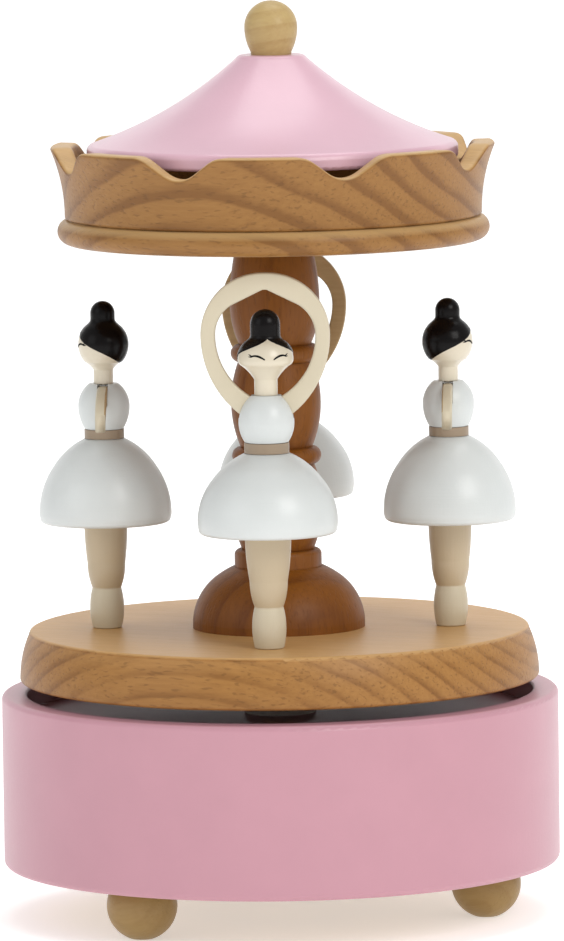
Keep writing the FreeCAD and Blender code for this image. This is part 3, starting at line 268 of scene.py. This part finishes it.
# both boards are laid with their grain across the view
BOARD_TURN = (0, 0, 25)
MAPLE = {"turn": (20, 0, 30), "pith": (0, 3, -12), "ring_mm": 3.0, "rings": 0.22, "flecks": 0.1,
         "warp_mm": 1.5}
FINISHES = {
    "pink_paint": paint("pink paint", (0.53, 0.265, 0.32), roughness=0.38, grain=0.25),
    # its face colour is painted light on the faces that look up
    "beech": wood("varnished beech", (0.42, 0.205, 0.056), (0.225, 0.095, 0.022), BOARD_TURN,
                  pith=(0, 30, 118), ring_mm=3.4, rings=0.34, flecks=0.85, face=(0.70, 0.42, 0.17)),
    "stained_wood": wood("stained beech", (0.27, 0.092, 0.008), (0.15, 0.044, 0.004), (0, 90, 0),
                         pith=(0, 34, 22), ring_mm=4.6, rings=0.26, flecks=0.5, gloss=0.46, warp_mm=3.0,
                         coat=0.04),
    "natural_wood": wood("turned maple", (0.54, 0.40, 0.18), (0.40, 0.26, 0.10), gloss=0.38, **MAPLE),
    "cream_paint": paint("cream paint", CREAM, roughness=0.38, grain=0.9, lathe=0.4),
    "white_paint": paint("white paint", (0.63, 0.655, 0.645), lathe=0.5, mottle=0.015, coat=0.2),
    "sash_tan": paint("tan paint", (0.30, 0.22, 0.145), roughness=0.42, grain=0.4),
    "plywood": plywood("plywood", (0.44, 0.29, 0.135), (0.37, 0.235, 0.10)),
    "brass": metal("brass", (0.78, 0.55, 0.22), 0.28),
    "steel": metal("plated steel", (0.60, 0.60, 0.61)),
    "comb_steel": metal("ground steel", (0.33, 0.33, 0.36), 0.34, brushed=(2.4, 0.08, 2.4)),
    "zinc": metal("die-cast zinc", (0.50, 0.50, 0.51), 0.46, brushed=(0.6, 0.6, 0.6)),
    "nylon": plastic("nylon", (0.80, 0.78, 0.70)),
}
# the pink paint made paler and whiter: painted light, for the light and sheen on the roof
ROOF_PAINT_WITH_PAINTED_LIGHT = paint("roof paint with painted light", (0.69, 0.425, 0.51), roughness=0.3, grain=0.2, coat=0.25)
LEG_PAINT = paint("leg paint", (0.52, 0.42, 0.28), roughness=0.42, grain=0.9, lathe=0.4,
                  below=(ANKLE_MM, CREAM))
FACE_PAINT = paint("face paint", (0.66, 0.59, 0.46), roughness=0.3, grain=0.08, mottle=0.006, coat=0.4)
# its face colour is painted light on the faces that look up
CROWN_WOOD = wood("crown beech", (0.365, 0.18, 0.05), (0.205, 0.088, 0.021), BOARD_TURN,
                  pith=(0, 30, 215), ring_mm=4.8, rings=0.46, flecks=0.8, face=(0.66, 0.43, 0.19))
# the turned maple made darker: painted shade, for the feet in the shadow under the drum
FOOT_WOOD_IN_PAINTED_SHADE = wood("foot maple in painted shade", (0.36, 0.245, 0.095), (0.27, 0.165, 0.055), gloss=0.4, **MAPLE)
HAIR_PAINT = paint("black hair paint", (0.004, 0.003, 0.003), roughness=0.24, grain=0.4, mottle=0.1,
                   coat=0.0, specular=0.14)
LASH_PAINT = paint("lash paint", (0.005, 0.005, 0.006), roughness=0.6, grain=0.0, mottle=0.0, coat=0.0,
                   specular=0.1)


def dress_nodes():
    """Gives each CAD node its slot's finish, and some nodes a finish of their own."""
    slots = {s["node"]: s["material_slot"] for s in frame["record"]["subparts"]}
    own = {f"{side}_dancer_legs": LEG_PAINT for side in DANCERS}
    own.update({f"{side}_dancer_head": FACE_PAINT for side in DANCERS})
    # the feet get the maple darkened as painted shade
    own.update({name: FOOT_WOOD_IN_PAINTED_SHADE for name in NODES if name.startswith("foot_")})
    # the roof's pink is lightened as painted light
    own["canopy_roof"] = ROOF_PAINT_WITH_PAINTED_LIGHT
    for name, node in NODES.items():
        node.data.materials.clear()
        node.data.materials.append(own.get(name, FINISHES[slots[name]]))


# ---------------------------------------------------------------- shapes


def new_piece(name, points, faces, material, body="carousel"):
    """A smooth mesh piece in the row frame, riding on a body."""
    mesh = bpy.data.meshes.new(name)
    mesh.from_pydata([tuple(p) for p in points], [], faces)
    mesh.validate()
    mesh.polygons.foreach_set("use_smooth", [True] * len(mesh.polygons))
    mesh.materials.append(material)
    piece = bpy.data.objects.new(name, mesh)
    bpy.context.scene.collection.objects.link(piece)
    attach(piece, body)
    return piece


def sweep(sections, closed=True):
    """Points and faces of a row of closed sections, each with the same number of points."""
    count, ring = len(sections), len(sections[0])
    points = [p for section in sections for p in section]
    faces = []
    for i in range(count if closed else count - 1):
        a, b = i * ring, (i + 1) % count * ring
        for k in range(ring):
            n = (k + 1) % ring
            faces.append((a + k, b + k, b + n, a + n))
    if not closed:
        faces.append(tuple(range(ring)))
        faces.append(tuple((count - 1) * ring + k for k in reversed(range(ring))))
    return points, faces


def curve(start, pull, end, steps):
    """Points of a curve between two points that leans towards a third."""
    start, pull, end = Vector(start), Vector(pull), Vector(end)
    shares = [i / steps for i in range(steps + 1)]
    return [tuple(start * (1 - t)**2 + pull * (2 * t * (1 - t)) + end * t**2) for t in shares]


def line(start, end, steps):
    """Points along a line, without the last one."""
    return [tuple(a + (b - a) * i / steps for a, b in zip(start, end)) for i in range(steps)]


def level_arc(start, end, level, steps):
    """Points of an arc between two points whose centre is at a given height, without the last one."""
    rise = (start[1] - level)**2 - (end[1] - level)**2
    centre = (start[0]**2 - end[0]**2 + rise) / (2 * (start[0] - end[0]))
    radius = math.hypot(start[0] - centre, start[1] - level)
    first = math.atan2(start[1] - level, start[0] - centre)
    last = math.atan2(end[1] - level, end[0] - centre)
    last += 2 * math.pi * round((first - last) / (2 * math.pi))
    turns = [first + (last - first) * i / steps for i in range(steps)]
    return [(centre + radius * math.cos(t), level + radius * math.sin(t)) for t in turns]


def rounded(corners, steps=3):
    """A closed outline of (across, up, radius) corners. A radius above 0 eases its corner into a curve."""
    points = []
    for i, (x, y, radius) in enumerate(corners):
        here = Vector((x, y))
        if radius == 0:
            points.append((x, y))
            continue
        before = Vector(corners[i - 1][:2]) - here
        after = Vector(corners[(i + 1) % len(corners)][:2]) - here
        start, end = here + before.normalized() * radius, here + after.normalized() * radius
        points += curve(start, here, end, steps)
    return points


class Turning:
    """The radius of a turned CAD node at each height, read from its own mesh."""

    def __init__(self, name, step_mm=0.1):
        low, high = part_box(name)
        self.centre = (low + high) / 2
        self.low, self.high = low.z, high.z
        widest = {}
        for vertex in NODES[name].data.vertices:
            level = round((vertex.co.z - low.z) / (step_mm * MM))
            reach = math.hypot(vertex.co.x - self.centre.x, vertex.co.y - self.centre.y)
            widest[level] = max(widest.get(level, 0.0), reach)
        self.levels = sorted(widest)
        self.widest = widest
        self.step = step_mm * MM
        self.waist = low.z + max(widest, key=widest.get) * self.step

    def radius(self, z):
        """The radius at a height, between the two nearest levels of the mesh."""
        at = (z - self.low) / self.step
        below = [n for n in self.levels if n <= at] or [self.levels[0]]
        above = [n for n in self.levels if n > at] or [self.levels[-1]]
        a, b = below[-1], above[0]
        share = 0.0 if a == b else min(1.0, max(0.0, (at - a) / (b - a)))
        return self.widest[a] * (1 - share) + self.widest[b] * share

    def point(self, azimuth, z, lift=0.0):
        """A point over the surface, lifted away from the axis."""
        return self.at(azimuth, self.radius(z) + lift, z)

    def at(self, azimuth, reach, z):
        """A point at a distance from the axis."""
        return Vector((self.centre.x + reach * math.cos(azimuth),
                       self.centre.y + reach * math.sin(azimuth), z))


# ---------------------------------------------------------------- dancers' heads

# the hairline over the head's widest ring, at the face's middle, the sides and the back
HAIRLINE_MM = {"raised": (4.1, 1.0, -3.3), "lowered": (2.5, -1.4, -3.9)}
BUN_MM = {"raised": 2.75, "lowered": 2.25}
EYE_LIFT_MM = {"raised": 0.3, "lowered": -0.5}
HAIR_MM = {"thick": 0.16, "edge": 0.35, "sunk": 0.3}
HAIR_AROUND, HAIR_ROWS, BUN_ROWS = 96, 34, 12
# above 1, the rows of points lie closer together at the hairline
HAIR_CROWDING = 1.3
# the head of the front dancer is glued a little askew
FACE_TURN = {"front": 11.0}

# a closed eye, from the face's middle outwards: the lid's start, its width, its height and how much of a
# half wave it is, then the lashes at its end, each with its width
LID_MM = {"start": 0.85, "wide": 2.6, "arch": 0.75, "wave": 0.72, "stroke": 0.4}
LASHES_MM = ((((2.9, 0.62), (3.35, 0.72), (3.75, 1.0)), 0.26),
             (((3.0, 0.62), (3.4, 0.52), (3.8, 0.55)), 0.24))
STROKE_MM = {"ridge": 0.07, "lift": 0.02}
STROKE_SIDES = 8


def figure_of(side):
    return "raised" if side in ARMS_UP else "lowered"


def azimuth_of(side):
    """The direction from the column to a dancer."""
    low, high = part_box(f"{side}_dancer_skirt")
    middle = (low + high) / 2
    return math.atan2(middle.y, middle.x)


def facing(side):
    """The way a dancer looks: outwards from the column."""
    return azimuth_of(side) + math.radians(FACE_TURN.get(side, 0.0))


def hairline_mm(away, front, beside, behind):
    """Height of the hairline over the widest ring, for an angle from the face's middle, 0 to pi."""
    quarter = math.pi / 2
    if away < quarter:
        return front + (beside - front) * (away / quarter)**0.9
    return beside + (behind - beside) * math.sin(min(away - quarter, quarter))


def hair_section(head, azimuth, edge_z, bun):
    """One upright section of the hair: up its outer face from the hairline, and down its inner face."""
    thick, edge, sunk = (HAIR_MM[key] * MM for key in ("thick", "edge", "sunk"))
    bun_middle = head.high - bun
    outer, inner = [], []
    for k in range(HAIR_ROWS):
        z = edge_z + (bun_middle - edge_z) * (k / HAIR_ROWS)**HAIR_CROWDING
        eased = math.sqrt(max(0.0, 1 - (1 - min(1.0, (z - edge_z) / edge))**2))
        outer.append(head.point(azimuth, z, thick * eased))
        inner.append(head.point(azimuth, z, -sunk))
    for k in range(BUN_ROWS):
        rise = math.pi / 2 * (k + 0.5) / BUN_ROWS
        for reach, face in ((bun + thick, outer), (bun - sunk, inner)):
            face.append(head.at(azimuth, reach * math.cos(rise), bun_middle + reach * math.sin(rise)))
    return outer + inner[::-1]


def make_hair(side):
    """Hair as a thin closed shell over the head and bun, with a rounded edge at the hairline."""
    head, front, figure = Turning(f"{side}_dancer_head"), facing(side), figure_of(side)
    sections = []
    for i in range(HAIR_AROUND):
        turn = 2 * math.pi * i / HAIR_AROUND
        away = abs((turn + math.pi) % (2 * math.pi) - math.pi)
        edge_z = head.waist + hairline_mm(away, *HAIRLINE_MM[figure]) * MM
        sections.append(hair_section(head, front + turn, edge_z, BUN_MM[figure] * MM))
    points, faces = sweep(sections)
    ring = len(sections[0])
    top = ring // 2 - 1
    # the strip that joins the two faces at the bun's top gives way to a cap on each
    faces = [f for f in faces if not {top, top + 1} <= {v % ring for v in f}]
    top_out, top_in = len(points), len(points) + 1
    for lift in (HAIR_MM["thick"], -HAIR_MM["sunk"]):
        points.append(Vector((head.centre.x, head.centre.y, head.high + lift * MM)))
    for i in range(HAIR_AROUND):
        a, b = i * ring + top, (i + 1) % HAIR_AROUND * ring + top
        faces += [(a, b, top_out), (b + 1, a + 1, top_in)]
    new_piece(f"{side}_dancer_hair", points, faces, HAIR_PAINT)


def stroke(head, front, path, wide_mm):
    """A painted stroke on the face: a low ridge that follows points given as (across, up) in millimetres."""
    sections = []
    last = len(path) - 1
    for i, (across, up) in enumerate(path):
        before, after = path[max(0, i - 1)], path[min(last, i + 1)]
        slope = math.atan2(after[1] - before[1], after[0] - before[0])
        half = wide_mm / 2 * max(0.25, math.sin(math.pi * (0.12 + 0.8 * i / last))**0.6)
        section = []
        for k in range(STROKE_SIDES):
            turn = -2 * math.pi * k / STROKE_SIDES
            side_mm, lift_mm = half * math.cos(turn), STROKE_MM["ridge"] * math.sin(turn)
            x, y = across - side_mm * math.sin(slope), up + side_mm * math.cos(slope)
            z = head.waist + y * MM
            swing = math.asin(max(-1.0, min(1.0, x * MM / head.radius(z))))
            section.append(head.point(front + swing, z, (lift_mm + STROKE_MM["lift"]) * MM))
        sections.append(section)
    return sweep(sections, closed=False)


def eye_strokes():
    """The strokes of one closed eye as (points, width): a shallow arc with two short lashes at its end."""
    steps, lid = 14, LID_MM
    arc = [(lid["start"] + lid["wide"] * i / steps, lid["arch"] * math.sin(math.pi * lid["wave"] * i / steps))
           for i in range(steps + 1)]
    return [(arc, lid["stroke"]), *LASHES_MM]


def make_lashes(side):
    """Two closed eyes, painted on the face."""
    head, front = Turning(f"{side}_dancer_head"), facing(side)
    lift = EYE_LIFT_MM[figure_of(side)]
    points, faces = [], []
    for hand in (-1, 1):
        for path, wide in eye_strokes():
            more, more_faces = stroke(head, front, [(hand * x, lift + y) for x, y in path], wide)
            faces += [tuple(v + len(points) for v in face) for face in more_faces]
            points += more
    new_piece(f"{side}_dancer_lashes", points, faces, LASH_PAINT)


# ---------------------------------------------------------------- arms

# the sawn sheet, with its edges eased
ARM_THICK_MM, ARM_EDGE_MM = 2.0, 0.45
# the raised arms, from the slot up: an egg-shaped ring, and inside it a hole with its own foot
RING_MM = {"half": 12.5, "foot": 4.15, "widest": 16.0, "band": 2.8, "hand": 3.1, "wrist": 6.5, "rise": 5.8,
           "hole_foot": 2.6, "hole_low": 3.9, "foot_start": 0.4, "hole_start": 0.25}
# the lowered arms, out to one hand, with the places that their curves lean towards
ARM_MM = {"reach": 10.4, "root": 3.6, "hand": 3.7, "armpit": 4.7, "armpit_out": 5.18}
BULGE_MM = {"upper": (1.6, 0.9), "under": (1.3, 1.0)}


def other_side(pairs):
    """The same pairs of points on the other side of the middle, in the opposite order."""
    return [((-a[0], a[1]), (-b[0], b[1])) for a, b in reversed(pairs)]


def ring_contours(high):
    """Matching inner and outer points round the raised arms, from the foot's middle up one side."""
    r, steps, foot_steps = RING_MM, 16, 4
    widest, inner_half = r["widest"], r["half"] - r["band"]
    outer = line((r["foot_start"], 0), (r["foot"], 0), foot_steps)
    outer += level_arc((r["foot"], 0), (r["half"], widest), widest, steps)
    outer += level_arc((r["half"], widest), (0, high), widest, 2 * steps)
    wrist = (r["wrist"], widest + r["rise"])
    inner = line((r["hole_start"], r["hole_low"]), (r["hole_foot"], r["hole_low"]), foot_steps)
    inner += level_arc((r["hole_foot"], r["hole_low"]), (inner_half, widest), widest, steps)
    inner += level_arc((inner_half, widest), wrist, widest, steps)
    inner += line(wrist, (0, high - r["hand"]), steps)
    return list(zip(inner, outer))


def lowered_contours(high):
    """Matching lower and upper points of the lowered arms, from the middle out to one hand."""
    a, steps, root_steps = ARM_MM, 14, 4
    bulge = (a["reach"] - BULGE_MM["upper"][0], high - BULGE_MM["upper"][1])
    under = (a["reach"] - BULGE_MM["under"][0], a["armpit"] - BULGE_MM["under"][1])
    root, pit = (a["root"], high), (a["armpit_out"], a["armpit"])
    upper = line((0.0, high), root, root_steps) + curve(root, bulge, (a["reach"], a["hand"]), steps)
    lower = line((0.0, a["armpit"]), pit, root_steps) + curve(pit, under, (a["reach"], 0.0), steps)
    return list(zip(lower, upper))


def make_arms(side):
    """Sawn arms with eased edges, painted cream but for the inward face, which is bare wood."""
    low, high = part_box(f"{side}_dancer_arms")
    foot = (low + high) / 2
    foot.z = low.z
    tall = (high.z - low.z) / MM
    raised = side in ARMS_UP
    if raised:
        half = ring_contours(tall)
        pairs = half + other_side(half)
    else:
        half = lowered_contours(tall)
        pairs = other_side(half[1:]) + half
    azimuth = azimuth_of(side)
    outward = Vector((math.cos(azimuth), math.sin(azimuth), 0.0))
    across, up = Vector((-outward.y, outward.x, 0.0)), Vector((0.0, 0.0, 1.0))
    thick, edge = ARM_THICK_MM / 2, ARM_EDGE_MM
    sections = []
    for inner, outer in pairs:
        a, b = Vector(inner), Vector(outer)
        wide, way = (b - a).length, (b - a).normalized()
        section = rounded([(0, -thick, edge), (wide, -thick, edge), (wide, thick, edge), (0, thick, edge)])
        flat = [(a + way * u, v) for u, v in section]
        sections.append([foot + (across * p.x + up * p.y + outward * v) * MM for p, v in flat])
    points, faces = sweep(sections, closed=raised)
    arms = new_piece(f"{side}_dancer_wooden_arms", points, faces, FINISHES["plywood"])
    arms.data.materials.append(FINISHES["cream_paint"])
    painted_from = (0.3 * edge - thick) * MM
    for polygon in arms.data.polygons:
        polygon.material_index = int((polygon.center - foot).dot(outward) > painted_from)
    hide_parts(f"{side}_dancer_arms")


# ---------------------------------------------------------------- the canopy's crown

# radii and heights of the crown's outline, then its groove and its rounded edges
CROWN_MM = {"bore": 5.05, "bead": 42.5, "bead_high": 4.8, "wall": 41.0, "lip": 43.9, "inside": 37.6,
            "lip_inside": 39.4, "floor": 6.0, "hollow_foot": 9.0, "under_bead": 1.0}
GROOVE_MM = {"deep": 0.25, "above_bead": 0.2, "wall_above_bead": 0.35}
BRIM_MM = {"outer": 0.9, "inner": 1.0, "out": 0.15, "straight": 2.0}
HOLLOW_CORNER_MM = 0.8
# how late the wall's flare comes on the way up
FLARE = 2.1
BEAD_STEPS, WALL_STEPS, BRIM_STEPS = 14, 16, 5
SCALLOPS = 8
SCALLOP_STEPS = 72
SCALLOP_MM = {"half": 9.6, "depth": 4.3, "shoulder": 5.0, "bottom": 6.0}
SCALLOP_SLOPE = math.radians(35)


def scallop_drop_mm(across):
    """How far a scallop is cut below the crest, at a distance from its middle."""
    c, across = SCALLOP_MM, abs(across)
    if across >= c["half"]:
        return 0.0
    bend, dip = c["half"] - c["shoulder"] * math.sin(SCALLOP_SLOPE), c["bottom"] * math.sin(SCALLOP_SLOPE)
    if across > bend:
        return c["shoulder"] - math.sqrt(c["shoulder"]**2 - (c["half"] - across)**2)
    if across < dip:
        return c["depth"] - c["bottom"] + math.sqrt(c["bottom"]**2 - across**2)
    top = c["shoulder"] * (1 - math.cos(SCALLOP_SLOPE))
    low = c["depth"] - c["bottom"] * (1 - math.cos(SCALLOP_SLOPE))
    return top + (low - top) * (bend - across) / (bend - dip)


def crown_section(away, tall):
    """The crown's outline as (radius, height) at an angle from the middle of a scallop."""
    c, inside, hollow_foot = CROWN_MM, CROWN_MM["inside"], CROWN_MM["hollow_foot"]
    half = c["bead_high"] / 2
    turns = [math.pi * (i / BEAD_STEPS - 0.5) for i in range(BEAD_STEPS + 1)]
    outline = [(c["bore"], 0.0), (c["bead"] - half - c["under_bead"], 0.0)]
    outline += [(c["bead"] - half + half * math.cos(t), half + half * math.sin(t)) for t in turns]
    outline.append((c["wall"] - GROOVE_MM["deep"], c["bead_high"] + GROOVE_MM["above_bead"]))
    top_out = tall - scallop_drop_mm(c["lip"] * math.sin(away))
    top_in = tall - scallop_drop_mm(c["lip_inside"] * math.sin(away))
    foot = c["bead_high"] + GROOVE_MM["wall_above_bead"]
    for i in range(WALL_STEPS + 1):
        z = foot + (top_out - BRIM_MM["outer"] - foot) * i / WALL_STEPS
        flare = (c["lip"] - c["wall"]) * ((z - foot) / (tall - foot))**FLARE
        outline.append((c["wall"] + flare, z))
    lip = outline[-1][0] + BRIM_MM["out"]
    brim_in = inside + (c["lip_inside"] - inside) * (top_in - hollow_foot) / (tall - hollow_foot)
    brim = rounded([(lip, top_out - BRIM_MM["straight"], 0), (lip, top_out, BRIM_MM["outer"]),
                    (brim_in, top_in, BRIM_MM["inner"]), (inside, hollow_foot, 0)], BRIM_STEPS)
    # its ends, and the point that the wall already has, only gave it its direction
    outline += brim[2:-1]
    hollow = rounded([(brim_in, top_in, 0), (inside, hollow_foot, HOLLOW_CORNER_MM),
                      (inside, c["floor"], HOLLOW_CORNER_MM), (c["bore"], c["floor"], 0)])
    return outline + hollow[1:]


def make_crown():
    """The scalloped crown with its edges sanded round, over the whole of its CAD shape."""
    low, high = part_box("canopy_crown")
    tall = (high.z - low.z) / MM
    share, around = 2 * math.pi / SCALLOPS, SCALLOP_STEPS * SCALLOPS
    first_valley = azimuth_of("front") + share / 2
    sections = []
    for i in range(around):
        turn = 2 * math.pi * i / around
        away = (turn + share / 2) % share - share / 2
        out = Vector((math.cos(first_valley + turn), math.sin(first_valley + turn), 0.0))
        outline = crown_section(away, tall)
        sections.append([out * (r * MM) + Vector((0, 0, low.z + z * MM)) for r, z in outline])
    points, faces = sweep(sections)
    crown = new_piece("canopy_crown_sanded", points, faces, CROWN_WOOD)
    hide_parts("canopy_crown")


# ---------------------------------------------------------------- camera, lights and floor

VIEW_FROM_MM = (0, -1700, 271)
VIEW_AT_MM = (1.0, 0.0, 87.9)
VIEW_LENS_MM = 331.7
VIEW_ROLL = math.radians(-0.8)
LIGHTS_AT = Vector((0, 0, 0.09))
WARM, COOL, WHITE = (1.0, 0.985, 0.96), (0.95, 0.975, 1.0), (1.0, 1.0, 1.0)
SKY = 0.58
# the floor, in metres: its half width, its near edge, its wall, and the bend between them
FLOOR = {"half": 6.0, "front": -8.0, "back": 5.0, "bend": 1.5, "high": 3.0}
BEND_STEPS = 12
FLOOR_GLOW = 0.42


def make_camera():
    data = bpy.data.cameras.new("camera")
    data.lens = VIEW_LENS_MM
    data.clip_start, data.clip_end = 0.05, 60
    camera = bpy.data.objects.new("camera", data)
    bpy.context.scene.collection.objects.link(camera)
    place = Vector(VIEW_FROM_MM) * MM
    look = (Vector(VIEW_AT_MM) * MM - place).to_track_quat("-Z", "Y").to_matrix().to_4x4()
    along = look.col[2].xyz
    camera.matrix_world = Matrix.Translation(place) @ Matrix.Rotation(VIEW_ROLL, 4, along) @ look
    bpy.context.scene.camera = camera


def soft_light(name, place, size, watts, colour):
    data = bpy.data.lights.new(name, "AREA")
    data.shape, data.size, data.energy, data.color = "SQUARE", size, watts, colour
    light = bpy.data.objects.new(name, data)
    bpy.context.scene.collection.objects.link(light)
    light.location = place
    light.rotation_euler = (LIGHTS_AT - Vector(place)).to_track_quat("-Z", "Y").to_euler()


def make_studio():
    soft_light("key", (1.0, -1.3, 1.1), 0.9, 12.5, WARM)
    soft_light("fill", (-1.3, -0.9, 0.7), 1.0, 3.0, COOL)
    soft_light("top", (0.1, 0.3, 1.5), 1.0, 7.5, WHITE)
    world = bpy.data.worlds.new("studio")
    world.use_nodes = True
    background = world.node_tree.nodes["Background"]
    background.inputs["Color"].default_value = (*WHITE, 1.0)
    background.inputs["Strength"].default_value = SKY
    bpy.context.scene.world = world
    bpy.context.scene.view_settings.view_transform = "Standard"


def make_floor():
    """A floor that sweeps up behind the object."""
    half, bend = FLOOR["half"], FLOOR["bend"]
    bend_start = FLOOR["back"] - bend
    turns = [math.pi / 2 * k / BEND_STEPS for k in range(1, BEND_STEPS + 1)]
    outline = [(FLOOR["front"], 0.0), (bend_start, 0.0)]
    outline += [(bend_start + bend * math.sin(a), bend - bend * math.cos(a)) for a in turns]
    outline.append((FLOOR["back"], FLOOR["high"]))
    points = [(x, y, z) for y, z in outline for x in (-half, half)]
    faces = [(2 * i, 2 * i + 1, 2 * i + 3, 2 * i + 2) for i in range(len(outline) - 1)]
    mesh = bpy.data.meshes.new("floor")
    mesh.from_pydata(points, [], faces)
    mesh.materials.append(paper_floor("studio floor", FLOOR_GLOW))
    floor = bpy.data.objects.new("floor", mesh)
    bpy.context.scene.collection.objects.link(floor)


dress_nodes()
make_crown()
for dancer in DANCERS:
    make_hair(dancer)
    make_lashes(dancer)
    make_arms(dancer)
make_camera()
make_studio()
make_floor()
